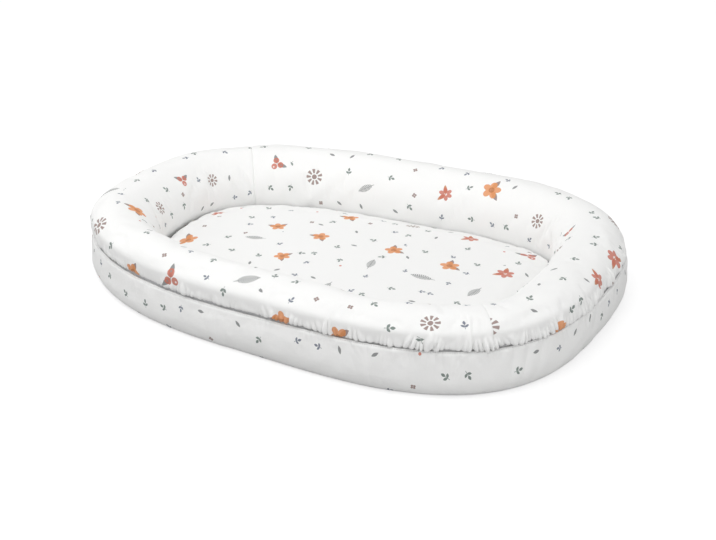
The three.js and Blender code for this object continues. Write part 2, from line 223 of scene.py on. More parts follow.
# %% [markdown]
# The ring's cross-section is a line of points too, each an inset from the outline and a height above the
# floor. Its stretches are quarters of ellipses, the shape that stuffed cloth takes between two seams, and
# straight lines join them. A torus would be quicker to make, but it is as round inside as outside, and the
# ring here is taller than it is thick and stands on a flat base.

# %% Lines of a cross-section
def quarter(start, end, inset_first, points=60, fullness=2):
    """A quarter of an ellipse, squarer for a fullness above 2. It sets off along the inset, or upright."""
    angle = np.linspace(0, np.pi / 2, points)
    early, late = np.sin(angle) ** (2 / fullness), 1 - np.cos(angle) ** (2 / fullness)
    du, dz = (early, late) if inset_first else (late, early)
    return np.stack([start[0] + (end[0] - start[0]) * du, start[1] + (end[1] - start[1]) * dz], axis=1)


SAME_PLACE = 1e-9


def travel(line):
    """How far along a line each of its points lies."""
    return np.concatenate([[0], np.cumsum(np.hypot(*np.diff(line, axis=0).T))])


def stepped(line, first, last, growth=0.06):
    """The same line with new points, first apart at the start and up to last apart further on."""
    line = line[np.concatenate([[True], np.diff(travel(line)) > SAME_PLACE])]
    travelled = travel(line)
    at = [0]
    while at[-1] < travelled[-1]:
        at.append(at[-1] + min(last, first + growth * at[-1]))
    return with_points_at(line, np.array(at))


def with_points_at(line, at):
    """A line with its points spaced in the same shares as some distances are."""
    travelled = travel(line)
    at = at * travelled[-1] / at[-1]
    return np.stack([np.interp(at, travelled, line[:, k]) for k in (0, 1)], axis=1)


round_corner = travel(quarter((0, 0), (1, 1), True))[-1]
print("a quarter of a circle of radius 1 is", round(float(round_corner), 3), "long")

# %% [markdown]
# The band goes from the floor to the zip, bulges low down and draws in to its seam. The cover goes from the
# zip over the crest and down beside the pad. Above the zip it is convex: it bulges out a little over the
# zip and turns over a round shoulder into the top. Round the far side the top slopes off lower, so the
# cover has two sections, and one turns into the other at the two ends. Rows of points lie close together
# at the zip, where the cloth is gathered, and wider apart elsewhere.

# %% The ring's cross-section
ZIP_HEIGHT = 70 * MM
ZIP_SLIT = 4.6 * MM
BAND_FOOT = (14 * MM, 0.7 * MM)
BAND_BULGE = (0.5 * MM, 28 * MM)
BAND_RIM = (3.2 * MM, 62 * MM)
BAND_TOP = (7 * MM, ZIP_HEIGHT - ZIP_SLIT / 2)
COVER_EDGE = (7 * MM, ZIP_HEIGHT + ZIP_SLIT / 2)
SHOULDER = (1.8 * MM, 94 * MM)
CREST = (55 * MM, 116 * MM)
FAR_SHOULDER = (7 * MM, 80 * MM)
FAR_FULLNESS = 1.8
INNER_BEND = (106 * MM, 29 * MM)
COVER_FOOT = (106 * MM, 10 * MM)
COVER_STEPS = (2.2 * MM, 7 * MM)
BAND_STEPS = (2.4 * MM, 4.5 * MM)

cover_down = quarter(CREST, INNER_BEND, True), [COVER_FOOT]
cover_margin = quarter(COVER_EDGE, SHOULDER, True), quarter(SHOULDER, CREST, False)
cover_line = stepped(np.concatenate([*cover_margin, *cover_down]), *COVER_STEPS)
far_top = quarter(FAR_SHOULDER, CREST, False, fullness=FAR_FULLNESS)
far_margin = quarter(COVER_EDGE, FAR_SHOULDER, True), far_top
far_cover_line = with_points_at(np.concatenate([*far_margin, *cover_down]), travel(cover_line))
band_parts = quarter(BAND_FOOT, BAND_BULGE, True), quarter(BAND_RIM, BAND_TOP, False)
band_line = stepped(np.concatenate(band_parts)[::-1], *BAND_STEPS)[::-1]
cover_across = travel(cover_line)
band_across = travel(band_line)
print("rows: cover", len(cover_line), "and band", len(band_line))

# %% [markdown]
# A stuffed ring isn't the same all round. Here it is thicker at the two tips, where its inner wall reaches
# further into the well. The zip line rises a little at the corner of the head end on the near side, where
# the cover is pulled up. A place round the nest is a share of the way: 0 at the head end's tip, then by the
# far side to 0.5 at the foot end, and back by the near side. A bell curve over that share says how much of a
# change a station takes, so that it comes and goes with no edge.

# %% Where the ring is thicker and the zip line higher
HEAD_EXTRA = 15 * MM
HEAD_TIP = 0.02
FOOT_EXTRA = 9 * MM
FOOT_TIP = 0.53
TIP_HALF = 0.07
ZIP_RISE = 6 * MM
RISE_AT = 0.87
RISE_HALF = 0.115


def bell(share, middle, half, flatness=2):
    """1 at a share of the way round, falling off to both sides. A high flatness gives it a broad top."""
    away = np.abs((share - middle + 0.5) % 1 - 0.5)
    return np.exp(-((away / half) ** flatness))


at_head, at_foot_end = bell(share_round, HEAD_TIP, TIP_HALF), bell(share_round, FOOT_TIP, TIP_HALF)
end_extra = HEAD_EXTRA * at_head + FOOT_EXTRA * at_foot_end
zip_rise = ZIP_RISE * bell(share_round, RISE_AT, RISE_HALF, flatness=4)
print("the zip line rises by up to", round(float(zip_rise.max() / MM), 1), "mm")

# %% [markdown]
# A cloth is kept as a grid of points, station by station round the nest and row by row across it. That
# keeps the way its threads run, which the print and the weave follow later. A lattice or sculpting would
# shape a ring as well, but the threads would then be lost.

# %% From a cross-section to a grid
def part_way(value, start, end):
    """How far a value has come from a start to an end, as a share."""
    return (value - start) / (end - start)


def carried_round(line, step=1):
    """A cross-section carried round the nest: grid[i, j] is its point j beside station i."""
    inset, z = np.asarray(line).T
    inner = np.clip(part_way(inset, CREST[0], INNER_BEND[0]), 0, 1)
    inner *= np.clip(part_way(z, COVER_FOOT[1], INNER_BEND[1]), 0, 1)
    moved = inset[None] + end_extra[::step, None] * inner[None]
    from_crest = part_way(z, CREST[1], ZIP_HEIGHT)
    from_bulge = part_way(z, BAND_BULGE[1], ZIP_HEIGHT)
    by_zip = np.clip(np.minimum(from_crest, from_bulge), 0, 1) * (inset < CREST[0])
    grid = np.empty((STATIONS // step, len(z), 3))
    grid[:, :, :2] = places[::step, None] - ways_out[::step, None] * moved[..., None]
    grid[:, :, 2] = z[None] + zip_rise[::step, None] * by_zip[None]
    return grid


def normals(grid):
    """The way out of the cloth at each point of a grid that closes on itself round the nest."""
    along = np.roll(grid, -1, axis=0) - np.roll(grid, 1, axis=0)
    normal = np.cross(along, np.gradient(grid, axis=1))
    return normal / np.maximum(np.linalg.norm(normal, axis=2), 1e-12)[..., None]


print("a section is carried round", len(carried_round([CREST])), "stations")

# %% [markdown]
# A grid becomes a mesh only at the end. A plane with a Solidify modifier would do for a cloth, but here each
# face's corners have to be known, because each also gets its place on the flat cloth, in metres. So the mesh
# is written out: an outer face, an inner one a cloth's thickness behind it, and a hem between them.

# %% From a grid to a cloth
FLAT_MAP = "flat_cloth"


def mesh_object(name, vertices, faces):
    """A new object with smooth shading, of points and of lists of their numbers."""
    mesh = bpy.data.meshes.new(name)
    mesh.from_pydata(vertices.tolist(), [], faces)
    piece = bpy.data.objects.new(name, mesh)
    bpy.context.collection.objects.link(piece)
    mesh.shade_smooth()
    return piece


def quads(*corners):
    """Faces from their four corners. A corner is a column, a row and a side, each a number or many."""
    stacked = [np.stack(np.broadcast_arrays(*corner), axis=-1) for corner in corners]
    return np.stack(stacked, axis=-2).reshape(-1, 4, 3)


def grid_faces(stations, rows, round_nest=True, round_section=False):
    """The faces of a grid of points, counted row by row. It may close on itself either way."""
    columns = stations if round_nest else stations - 1
    i, j = np.meshgrid(np.arange(columns), np.arange(rows if round_section else rows - 1), indexing="ij")
    after, up = (i + 1) % stations, (j + 1) % rows
    corners = (i * rows + j, after * rows + j, after * rows + up, i * rows + up)
    return np.stack(corners, axis=-1).reshape(-1, 4)


def cloth(name, outer, inner, along, across, closed=True):
    """A closed piece of two grids, with a hem on every edge."""
    stations, rows = outer.shape[:2]
    columns = stations if closed else stations - 1
    i, j = np.meshgrid(np.arange(columns), np.arange(rows - 1), indexing="ij")
    k, m = np.arange(columns), np.arange(rows - 1)
    end, top = stations - 1, rows - 1
    faces = [
        quads((i, j, 0), (i + 1, j, 0), (i + 1, j + 1, 0), (i, j + 1, 0)),
        quads((i, j + 1, 1), (i + 1, j + 1, 1), (i + 1, j, 1), (i, j, 1)),
        quads((k, 0, 0), (k, 0, 1), (k + 1, 0, 1), (k + 1, 0, 0)),
        quads((k + 1, top, 0), (k + 1, top, 1), (k, top, 1), (k, top, 0)),
    ]
    if not closed:
        faces.append(quads((0, m, 0), (0, m + 1, 0), (0, m + 1, 1), (0, m, 1)))
        faces.append(quads((end, m, 1), (end, m + 1, 1), (end, m + 1, 0), (end, m, 0)))
    column, row, side = np.moveaxis(np.concatenate(faces), -1, 0)
    vertices = np.concatenate([outer.reshape(-1, 3), inner.reshape(-1, 3)])
    vertex = side * stations * rows + (column % stations) * rows + row
    piece = mesh_object(name, vertices, vertex.tolist())
    flat = piece.data.uv_layers.new(name=FLAT_MAP)
    flat.data.foreach_set("uv", np.stack([along[column], across[row]], axis=-1).reshape(-1))
    return piece


print("a cloth's flat map is called", FLAT_MAP)

# %% [markdown]
# The ring's cover is cut longer than the zip that it is sewn to, so it is gathered there: fine puckers fill
# the upright side above the zip, run together into wider ones, and end at the shoulder. A simulation could
# gather a cloth too, but puckers of 8 mm would need a grid far finer than it can settle in a minute. So one
# wave for each width makes them. A wave's phase wanders, so that no two folds are alike, and its height dies
# away from the seam.

# %% Waves that wander
RANDOM = np.random.default_rng(21)
FULL_TURN = 2 * np.pi
turn = FULL_TURN * share_round


def wander(waves, size):
    """A smooth random line round the nest, of that many waves at most, and about that size."""
    heights = RANDOM.normal(size=waves)
    starts = RANDOM.uniform(0, FULL_TURN, size=waves)
    parts = heights * np.cos(np.arange(1, waves + 1) * turn[:, None] + starts)
    return parts.sum(axis=1) * size / np.sqrt(waves / 2)


PUCKER_MIDDLE = 0.3


def puckers(across, width, height, reach, ending=1.3, crease=0.6):
    """How far a gathered cloth stands out at each point of its grid: soft lobes with creases between."""
    count = round(ROUND / width)
    phase = count * np.pi * share_round + wander(count // 3, 0.75)
    lean = wander(count // 4, 0.17) * 2 * np.pi / width
    tall = height * np.clip(1 + wander(count // 5, 0.4), 0.2, 2)
    reaches = reach * np.clip(1 + wander(count // 3, 0.3), 0.5, 1.8)
    lobe = np.abs(np.cos(phase[:, None] + lean[:, None] * across[None])) ** crease
    fade = np.exp(-((across[None] / reaches[:, None]) ** ending))
    return tall[:, None] * (lobe - PUCKER_MIDDLE) * fade


SWELL_WAVES = 4


def swells(across, width, height):
    """Slow swells and hollows over the whole cloth, about that wide both ways."""
    total = 0
    for wave in range(SWELL_WAVES):
        count = max(2, round(ROUND / width / RANDOM.uniform(0.8, 1.6)))
        slant = RANDOM.uniform(-1, 1) * 2 * np.pi / width
        phase = count * 2 * np.pi * share_round + wander(count // 2 + 1, 0.8)
        total = total + np.cos(phase[:, None] + slant * across[None] + RANDOM.uniform(0, 6))
    return height * total / 2


print("the waves start from a seeded chance, so they come out the same each time")

# %% [markdown]
# The folds are deepest round the corner at the head end on the near side, where the cloth also hangs over
# the zip. The crest and the inner wall only swell and sink a little, as a stuffed ring does. The wide folds
# and the swells are there before the cloth is puffed out, and the fine folds and the hang come after it.

# %% The cover's folds
GATHERED_AT = 0.9
GATHERED_HALF = 0.13
SEAM_REACH = 2.2 * MM
FOOT_REACH = 22 * MM
SWELL_REACH = 30 * MM
HANG = 6 * MM
HANG_REACH = 10 * MM
LEAST_HUNG = 0.55
PLAIN_STRENGTH = 0.75
GATHERED_MORE = 0.85

strength = PLAIN_STRENGTH + GATHERED_MORE * bell(share_round, GATHERED_AT, GATHERED_HALF)
strength = strength + wander(9, 0.08)
rise = 1 - np.exp(-cover_across / SEAM_REACH)
wide_folds = puckers(cover_across, 38 * MM, 1.3 * MM, 27 * MM, ending=3, crease=1.8)
wide_folds += puckers(cover_across, 17 * MM, 2.2 * MM, 24 * MM, ending=3)
at_foot = np.clip((cover_across[-1] - cover_across) / FOOT_REACH, 0, 1)
off_seam = np.clip(cover_across / SWELL_REACH, 0, 1)
slow_swells = swells(cover_across, 160 * MM, 1.2 * MM) + swells(cover_across, 60 * MM, 0.4 * MM)
wide_folds = wide_folds * strength[:, None] * rise[None] + slow_swells * (at_foot * off_seam)[None]
fine_folds = puckers(cover_across, 8.5 * MM, 3.6 * MM, 20 * MM, ending=4) * strength[:, None] * rise[None]
hang = np.clip(strength - LEAST_HUNG, 0, 1) * np.clip(1 + wander(60, 0.45), 0.1, 2) * HANG
hang = hang[:, None] * (rise * np.exp(-((cover_across / HANG_REACH) ** 2)))[None]
print("the puckers stand out up to", round(float((wide_folds + fine_folds).max() / MM), 1), "mm")

# %% [markdown]
# Then the cover is puffed out by a cloth simulation, as the filling does it. Its two edges are pinned where
# they are sewn, pressure pushes from inside, and no point may move further than a few millimetres, so the
# nest keeps its size. The wide folds that the cloth starts with are part of its length, so it keeps them
# and rounds them. Every fourth station is enough for that, and it saves most of the time.

# %% A cloth simulation
def simulated(piece, pinned, pressure, frames):
    """Where a piece's points lie after some frames under pressure from inside, with some of them held."""
    pins = piece.vertex_groups.new(name="pins")
    pins.add([int(vertex) for vertex in pinned], 1, "REPLACE")
    modifier = piece.modifiers.new("Cloth", "CLOTH")
    settings = modifier.settings
    settings.quality = 6
    settings.mass = 0.15
    settings.tension_stiffness = 20
    settings.compression_stiffness = 20
    settings.shear_stiffness = 8
    settings.bending_stiffness = 0.08
    settings.air_damping = 2
    settings.use_pressure = True
    settings.uniform_pressure_force = pressure
    settings.effector_weights.gravity = 0
    settings.vertex_group_mass = "pins"
    settings.pin_stiffness = 50
    modifier.collision_settings.use_collision = False
    modifier.point_cache.frame_end = frames
    for number in range(1, frames + 1):
        bpy.context.scene.frame_set(number)
    settled = piece.evaluated_get(bpy.context.evaluated_depsgraph_get())
    points = np.empty(len(piece.data.vertices) * 3)
    settled.data.vertices.foreach_get("co", points)
    piece.modifiers.remove(modifier)
    bpy.context.scene.frame_set(1)
    return points.reshape(-1, 3)


def capped(before, after, most):
    """The points after a simulation, with none further from its start than most."""
    move = after - before
    length = np.linalg.norm(move, axis=-1, keepdims=True)
    mean, longest = length.mean() / MM, length.max() / MM
    print("it moved by", round(float(mean), 2), "mm, at most", round(float(longest), 1))
    return before + move * np.minimum(1, most / np.maximum(length, SAME_PLACE))


# %% Puffing a cloth out
PRESSURE = 4
FRAMES = 14
TRIAL_STEP = 4


def puffed(whole, pinned_rows, most):
    """A grid after its cloth was puffed out. Its pinned rows stay where they are."""
    grid = whole[::TRIAL_STEP]
    stations, rows = grid.shape[:2]
    piece = mesh_object("cloth_on_trial", grid.reshape(-1, 3), grid_faces(stations, rows).tolist())
    pinned = np.concatenate([np.arange(stations) * rows + row % rows for row in pinned_rows])
    settled = simulated(piece, pinned, PRESSURE, FRAMES)
    bpy.data.objects.remove(piece)
    move = capped(grid, settled.reshape(grid.shape), most) - grid
    following = np.roll(move, -1, axis=0)
    shares = [step / TRIAL_STEP for step in range(TRIAL_STEP)]
    between = np.stack([move * (1 - share) + following * share for share in shares], axis=1)
    return whole + between.reshape(whole.shape)


print("a trial cloth has", STATIONS // TRIAL_STEP, "stations")

# %% [markdown]
# The cover's grid is now put together: the near section turns into the far one at the two ends, the slit
# opens wider on the far side for the zip's slider, and the folds push it out and in. The filling's lining
# lies close behind, so no fold may sink further in than its room. A boolean cut for the slider would leave
# a hard edge, where the real cloth is eased apart.

# %% The ring's cover
SLIDER_STRETCH = (-85 * MM, 100 * MM)
SLIDER_SLIT = 8 * MM
STRETCH_EASE = 30 * MM
SLIT_REACH = 14 * MM
LEAST_OUT = -1.1 * MM
COVER_MOVE = 5 * MM
SEWN_ROWS = [0, -1, -2, -3, -4]
CHANGE_START = 0.25
CHANGE_LEAN = 0.2
CHANGE_RATE = 2.2


def eased(share):
    """A share from 0 to 1 that sets off and arrives softly."""
    return share * share * (3 - 2 * share)


def opened(grid, across, way):
    """The slit made wider on the far side's straight stretch, where the slider runs."""
    x = grid[:, 0, 0]
    from_ends = np.minimum(x - SLIDER_STRETCH[0], SLIDER_STRETCH[1] - x)
    share = eased(np.clip(1 + from_ends / STRETCH_EASE, 0, 1) * (grid[:, 0, 1] > 0))
    fade = np.clip(1 - across / SLIT_REACH, 0, 1) ** 2
    grid = grid.copy()
    grid[:, :, 2] += way * (SLIDER_SLIT - ZIP_SLIT) / 2 * share[:, None] * fade[None]
    return grid


def kept_out(grid, plain, least):
    """The grid with no point further in than least from the plain one, so nothing inside comes through."""
    out = normals(plain)
    stands = ((grid - plain) * out).sum(axis=2)
    return grid + out * np.maximum(least - stands, 0)[..., None]


change = CHANGE_START + CHANGE_LEAN * np.cos(turn) - CHANGE_RATE * np.sin(turn)
towards_near = eased(np.clip(change, 0, 1))[:, None, None]
plain_cover = carried_round(cover_line) * towards_near + carried_round(far_cover_line) * (1 - towards_near)
plain_cover = opened(plain_cover, cover_across, 1)
cover = plain_cover + normals(plain_cover) * wide_folds[..., None]
cover = puffed(cover, SEWN_ROWS, COVER_MOVE)
cover = cover + normals(plain_cover) * fine_folds[..., None]
cover[:, :, 2] -= hang
cover = kept_out(cover, plain_cover, LEAST_OUT)
print("the cover's grid has", cover.shape[0] * cover.shape[1], "points")

# %% [markdown]
# The side band is cut to fit, so it has only shallow folds under the zip, where the cover's gathers pull at
# it, and slow swells lower down. They fade out towards the floor, where the cloth is stretched over the
# base's edge. It goes through the same steps as the cover.

# %% The side band
BAND_FOOT_REACH = 32 * MM
BAND_TOP_REACH = 4 * MM
BAND_MOVE = 2.5 * MM
BAND_SEWN_ROWS = [0, 1, -1]

from_top = band_across[-1] - band_across
plain_band = opened(carried_round(band_line), from_top, -1)
band_folds = puckers(from_top, 12 * MM, 1.1 * MM, 16 * MM) * strength[:, None]
band_folds += puckers(from_top, 31 * MM, 1.2 * MM, 38 * MM, crease=1.2) * strength[:, None]
band_folds += puckers(band_across, 75 * MM, 0.4 * MM, 34 * MM, crease=1.5)
band_folds += swells(band_across, 140 * MM, 0.7 * MM) + swells(band_across, 45 * MM, 0.5 * MM)
held = np.clip(band_across / BAND_FOOT_REACH, 0, 1) * np.clip(from_top / BAND_TOP_REACH, 0, 1)
band = plain_band + normals(plain_band) * (band_folds * held[None])[..., None]
band = puffed(band, BAND_SEWN_ROWS, BAND_MOVE)
band = kept_out(band, plain_band, LEAST_OUT)
print("the band's grid has", band.shape[0] * band.shape[1], "points")

# %% [markdown]
# The real cover is sewn of two panels, and a seam across the ring shows where they meet. A dark line in the
# finish could stand for it, but from the side it would look painted on. So the cloth is drawn in to a narrow
# valley there, and the cover is cut in two along it.

# %% The seams across the cover
FOOT_CORNER_SEAM = 0.395
HEAD_CORNER_SEAM = 0.895
SEAM_DEPTHS = (1.6 * MM, 0.5 * MM)
SEAM_HALF_COLUMNS = 2.2
SEAM_START = 12 * MM

seams = [round(FOOT_CORNER_SEAM * STATIONS), round(HEAD_CORNER_SEAM * STATIONS)]
seam_rows = at_foot * np.clip(cover_across / SEAM_START, 0, 1)
for seam, depth in zip(seams, SEAM_DEPTHS):
    columns_away = np.abs((np.arange(STATIONS) - seam + STATIONS // 2) % STATIONS - STATIONS // 2)
    valley = depth * np.exp(-((columns_away / SEAM_HALF_COLUMNS) ** 2))
    cover = cover - normals(plain_cover) * (valley[:, None] * seam_rows[None])[..., None]
print("the cover's seams are at stations", seams)

# %% [markdown]
# Each cloth's flat map is the way round it and the way across it, as if it had been cut as a straight strip.
# An unwrap by Blender would tilt and stretch the print from face to face. The cover's way round is measured
# on its crest, where the print has to look right. A piece that stands for one of the nest's solids takes
# that solid's place, and moves with the nest.

# %% The cover's two panels and the band as pieces
CLOTH_THICKNESS = 1.3 * MM

cover_inner = cover - normals(cover) * CLOTH_THICKNESS
crest = plain_cover[:, int(np.argmax(cover_line[:, 1])), :2]
crest_steps = np.linalg.norm(np.roll(crest, -1, axis=0) - crest, axis=1)


def stands_for(piece, node, body="nest"):
    """Makes a piece stand for a node in place of its solid, and ride with a body."""
    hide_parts(node)
    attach(piece, body)


def cover_panel(name, node, first, last):
    """The part of the cover from one cross seam to the other, as a sheet of its own."""
    columns = np.arange(first, last + 1) % STATIONS
    # Each panel starts at another place of the print.
    along = np.concatenate([[0], np.cumsum(crest_steps[columns[:-1]])]) + first * MM
    panel = cloth(name, cover[columns], cover_inner[columns], along, cover_across, closed=False)
    stands_for(panel, node)
    print(name, "is", round(float(along[-1] - along[0]), 3), "m long")


cover_panel("ring_cover_near_cloth", "ring_cover_near", *seams)
cover_panel("ring_cover_far_cloth", "ring_cover_far", seams[1], seams[0] + STATIONS)

round_along = np.arange(STATIONS + 1) * ROUND / STATIONS
band_inner = band - normals(band) * CLOTH_THICKNESS
side_band = cloth("side_band_cloth", band, band_inner, round_along, band_across)
stands_for(side_band, "side_band")
print("the side band is", round(float(ROUND), 3), "m long")

# %% [markdown]
# The flat pieces under the well are ovals: the base panel on the floor, a thin wadding, and the floor panel
# on top of it. A filled curve with a Solidify would give their outline, but also long thin triangles that
# can't follow a crown or a wavy top. So an oval body is built of rings of points, from the middle of its
# underside out to the edge and back to the middle of its top. Each ring is the nest's outline moved in, and
# then drawn to the middle.

# %% Oval bodies
OVAL_STATIONS = 280


def points_of(piece):
    """A piece's points as rows of three."""
    values = np.empty(len(piece.data.vertices) * 3)
    piece.data.vertices.foreach_get("co", values)
    return values.reshape(-1, 3)


def mapped_from_above(piece):
    """Gives a piece the flat map that its plan view is."""
    mesh = piece.data
    flat = mesh.uv_layers.get(FLAT_MAP) or mesh.uv_layers.new(name=FLAT_MAP)
    corner = np.empty(len(mesh.loops), dtype=np.int32)
    mesh.loops.foreach_get("vertex_index", corner)
    flat.data.foreach_set("uv", points_of(piece)[corner, :2].reshape(-1))


def oval_body(name, rings, low, high, extra=0):
    """A closed oval body. A ring is a share of the way out from the middle, an inset and a height."""
    step = STATIONS // OVAL_STATIONS
    points = places[::step] - ways_out[::step] * np.broadcast_to(extra, STATIONS)[::step, None]
    out = ways_out[::step]
    levels = []
    for share, inset, z in rings:
        levels.append(np.append(share * (points - out * inset), np.full((len(points), 1), z), axis=1))
    vertices = np.concatenate([*levels, [[0, 0, low], [0, 0, high]]])
    count = OVAL_STATIONS
    i, j = np.meshgrid(np.arange(count), np.arange(len(rings) - 1), indexing="ij")
    after, above = (i + 1) % count, j + 1
    sides = (j * count + i, j * count + after, above * count + after, above * count + i)
    faces = np.stack(sides, axis=-1).reshape(-1, 4).tolist()
    last = (len(rings) - 1) * count
    for k in range(count):
        faces.append([(k + 1) % count, k, last + count])
        faces.append([last + k, last + (k + 1) % count, last + count + 1])
    piece = mesh_object(name, vertices, faces)
    mapped_from_above(piece)
    return piece


print("an oval body has", OVAL_STATIONS, "points round")


# %% The sheets under the well
def sheet_rings(inset, low, thickness, waves=0.0):
    """The rings of a flat oval sheet with a turned edge."""
    high = low + thickness
    shares = [0.1, 0.3, 0.5, 0.7, 0.85, 0.95]
    under = [(share, inset + thickness, low + waves * (i % 2)) for i, share in enumerate(shares)]
    edge = [(1, inset + 0.3 * thickness, low + 0.05 * thickness), (1, inset, low + 0.3 * thickness)]
    edge += [(1, inset, high - 0.3 * thickness), (1, inset + 0.3 * thickness, high - 0.05 * thickness)]
    over = [(share, inset + thickness, high + waves * (i % 2)) for i, share in enumerate(shares)][::-1]
    return [*under, *edge, *over]


def oval_sheet(name, inset, low, thickness, waves=0.0):
    """A flat oval sheet at an inset from the nest's outline, with its underside at a height."""
    return oval_body(name, sheet_rings(inset, low, thickness, waves), low, low + thickness)


base = oval_sheet("base_panel_cloth", 15.8 * MM, 0, 1.4 * MM)
stands_for(base, "base_panel")
floor_panel = oval_sheet("well_floor_cloth", 104.8 * MM, 7.9 * MM, 1.2 * MM)
stands_for(floor_panel, "well_floor_panel")
wadding = oval_sheet("base_wadding_fibre", 106.2 * MM, 1.9 * MM, 5 * MM, waves=0.3 * MM)
stands_for(wadding, "base_wadding")
for piece in (base, floor_panel, wadding):
    print(piece.name, "has", len(piece.data.polygons), "faces")

# %% [markdown]
# Inside the ring lie the fibre filling and its lining bag, which nobody sees until the cover is unzipped.
# They could be left out, but then an opened or cut-away nest would be hollow. They follow the ring's own
# cross-section, each a little further in: a line moved in by a depth, and carried round.

# %% Layers inside the ring
LAYER_STEP = 4


def moved_in(line, depth):
    """A cross-section's line moved inwards by a depth. Inwards lies on its right."""
    line = np.asarray(line)
    ahead = np.gradient(line, axis=0)
    ahead /= np.linalg.norm(ahead, axis=1)[:, None]
    return line + depth * np.stack([ahead[:, 1], -ahead[:, 0]], axis=1)


def strip(name, line, thickness, step=LAYER_STEP):
    """A thin layer that follows a line of the cross-section all the way round."""
    outer = carried_round(line, step)
    inner = carried_round(moved_in(line, thickness), step)
    return cloth(name, outer, inner, round_along[::step], travel(np.asarray(line)))


FOOT_CORNERS = [
    quarter(COVER_FOOT, (98 * MM, 3.4 * MM), False, 6),
    quarter((22 * MM, 3.4 * MM), (14 * MM, 6 * MM), True, 6),
]
LOOP_STEPS = (5 * MM, 6 * MM)
ring_loop = stepped(np.concatenate([band_line[2:], far_cover_line, *FOOT_CORNERS]), *LOOP_STEPS)
print("a loop round the ring's section has", len(ring_loop), "points")

# %% The lining's two halves
LINING_DEPTH = 3.0 * MM
LINING_THICKNESS = 0.7 * MM
LINING_SEAM = 50 * MM
LINING_SEAM_HALF = 0.4 * MM


def cut_at(loop, height, above):
    """The stretch of the loop above or below a height. It goes in the loop's own direction."""
    kept = loop[:, 1] > height if above else loop[:, 1] < height
    start = int(np.argmax(kept & ~np.roll(kept, 1)))
    turned = np.roll(loop, -start, axis=0)
    return turned[: int(np.argmin(np.roll(kept, -start)))]


lining_loop = moved_in(ring_loop, LINING_DEPTH)
for node, side in (("ring_lining_upper", 1), ("ring_lining_lower", -1)):
    line = cut_at(lining_loop, LINING_SEAM + side * LINING_SEAM_HALF, side > 0)
    lining = strip(node + "_cloth", line, LINING_THICKNESS)
    stands_for(lining, node)
    print(node, "is", round(float(travel(line)[-1]), 3), "m across")

# %% The filling, a closed ring
FILLING_DEPTH = 4.4 * MM
TUFT_HEIGHT = 0.35 * MM
TUFT_TURNS = (1.9, 1.3)

filling_grid = carried_round(moved_in(ring_loop, FILLING_DEPTH), LAYER_STEP)
count, rows = filling_grid.shape[:2]
round_nest, round_ring = np.arange(count) * TUFT_TURNS[0], np.arange(rows) * TUFT_TURNS[1]
tufts = TUFT_HEIGHT * np.sin(round_nest)[:, None] * np.cos(round_ring)[None]
filling_grid = filling_grid - normals(filling_grid) * np.abs(tufts)[..., None]
faces = grid_faces(count, rows, round_section=True)
filling = mesh_object("ring_filling_fibre", filling_grid.reshape(-1, 3), faces.tolist())
stands_for(filling, "ring_filling")
print("the filling has", count * rows, "points")

# %% [markdown]
# Under the cover's gathers runs the flat elastic that makes them. It lies against the cover's inner side, so
# its line is read off the cover's section at even heights, a little further in.

# %% The elastic under the gathers
ELASTIC_HEIGHTS = (84.8 * MM, 93.6 * MM)
ELASTIC_ROWS = 10
ELASTIC_THICKNESS = 0.8 * MM
BEHIND_COVER = 2 * MM
SHOULDER_ROWS = 12

inset, z = moved_in(far_cover_line, BEHIND_COVER)[:SHOULDER_ROWS].T
heights = np.linspace(*ELASTIC_HEIGHTS, ELASTIC_ROWS)
elastic_line = np.stack([np.interp(heights, z, inset), heights], axis=1)
elastic = strip("gather_elastic_band", elastic_line, ELASTIC_THICKNESS, step=2)
stands_for(elastic, "gather_elastic")
print("the elastic is", round(float(travel(elastic_line)[-1] / MM), 1), "mm wide")

# %% [markdown]
# The zip lies in the slit between cover and band: a woven tape above and one below, each sewn behind its
# cloth, and on each a nylon coil whose teeth reach between the other's.

# %% Zip tapes
TAPE_LINES = {
    "zip_tape_lower": [(5.4, 59.6), (6.3, 62.6), (7.4, 65.2), (8.8, 67.2), (8.8, 69.8)],
    "zip_tape_upper": [(8.8, 70.2), (8.8, 76), (8.9, 80), (9.5, 84.2)],
}
TAPE_STEP = 1.2 * MM
TAPE_THICKNESS = 0.6 * MM

for node, line in TAPE_LINES.items():
    tape = strip(node + "_woven", stepped(np.array(line) * MM, TAPE_STEP, TAPE_STEP), TAPE_THICKNESS, step=2)
    stands_for(tape, node)
    print(node, "has", len(tape.data.polygons), "faces")

# %% [markdown]
# A coil has about 1250 teeth. Copies of one modelled tooth would make too many faces for something this
# small. From outside a coil is a row of small rounded heads, so one strip carries them, whose front and
# whose edge go in and out with the teeth. It starts at one end stop and goes round the nest to the other.

# %% Places along the zip
TOOTH_PITCH = 2.0 * MM
TOOTH_REACH = 0.8 * MM
POINTS_PER_TOOTH = 4
COIL_FRONT = 7.3 * MM
COIL_BACK = 8.5 * MM
COIL_HEIGHT = 2.05 * MM
COIL_GAP = 0.05 * MM
HEAD_SWELL = 0.35 * MM
HEAD_ROUNDING = 0.35 * MM
OUTER_SHOULDER = 0.5 * MM
TOOTH_SHOULDER = 0.3 * MM
ZIP_START_X = -62 * MM
ZIP_END_X = -76 * MM


def far_side_along(x):
    """How far round the nest its far side comes to an X."""
    far = places[:, 1] > 0
    order = np.argsort(places[far, 0])
    return float(np.interp(x, places[far, 0][order], round_along[:-1][far][order]))


def along_outline(at):
    """Places and ways out at distances round the nest."""
    both = [np.append(values, values[:1], axis=0) for values in (places, ways_out)]
    return [np.stack([np.interp(at % ROUND, round_along, v[:, k]) for k in (0, 1)], axis=1) for v in both]


print("the zip ends", round(far_side_along(ZIP_END_X), 3), "m round from the head end's tip")


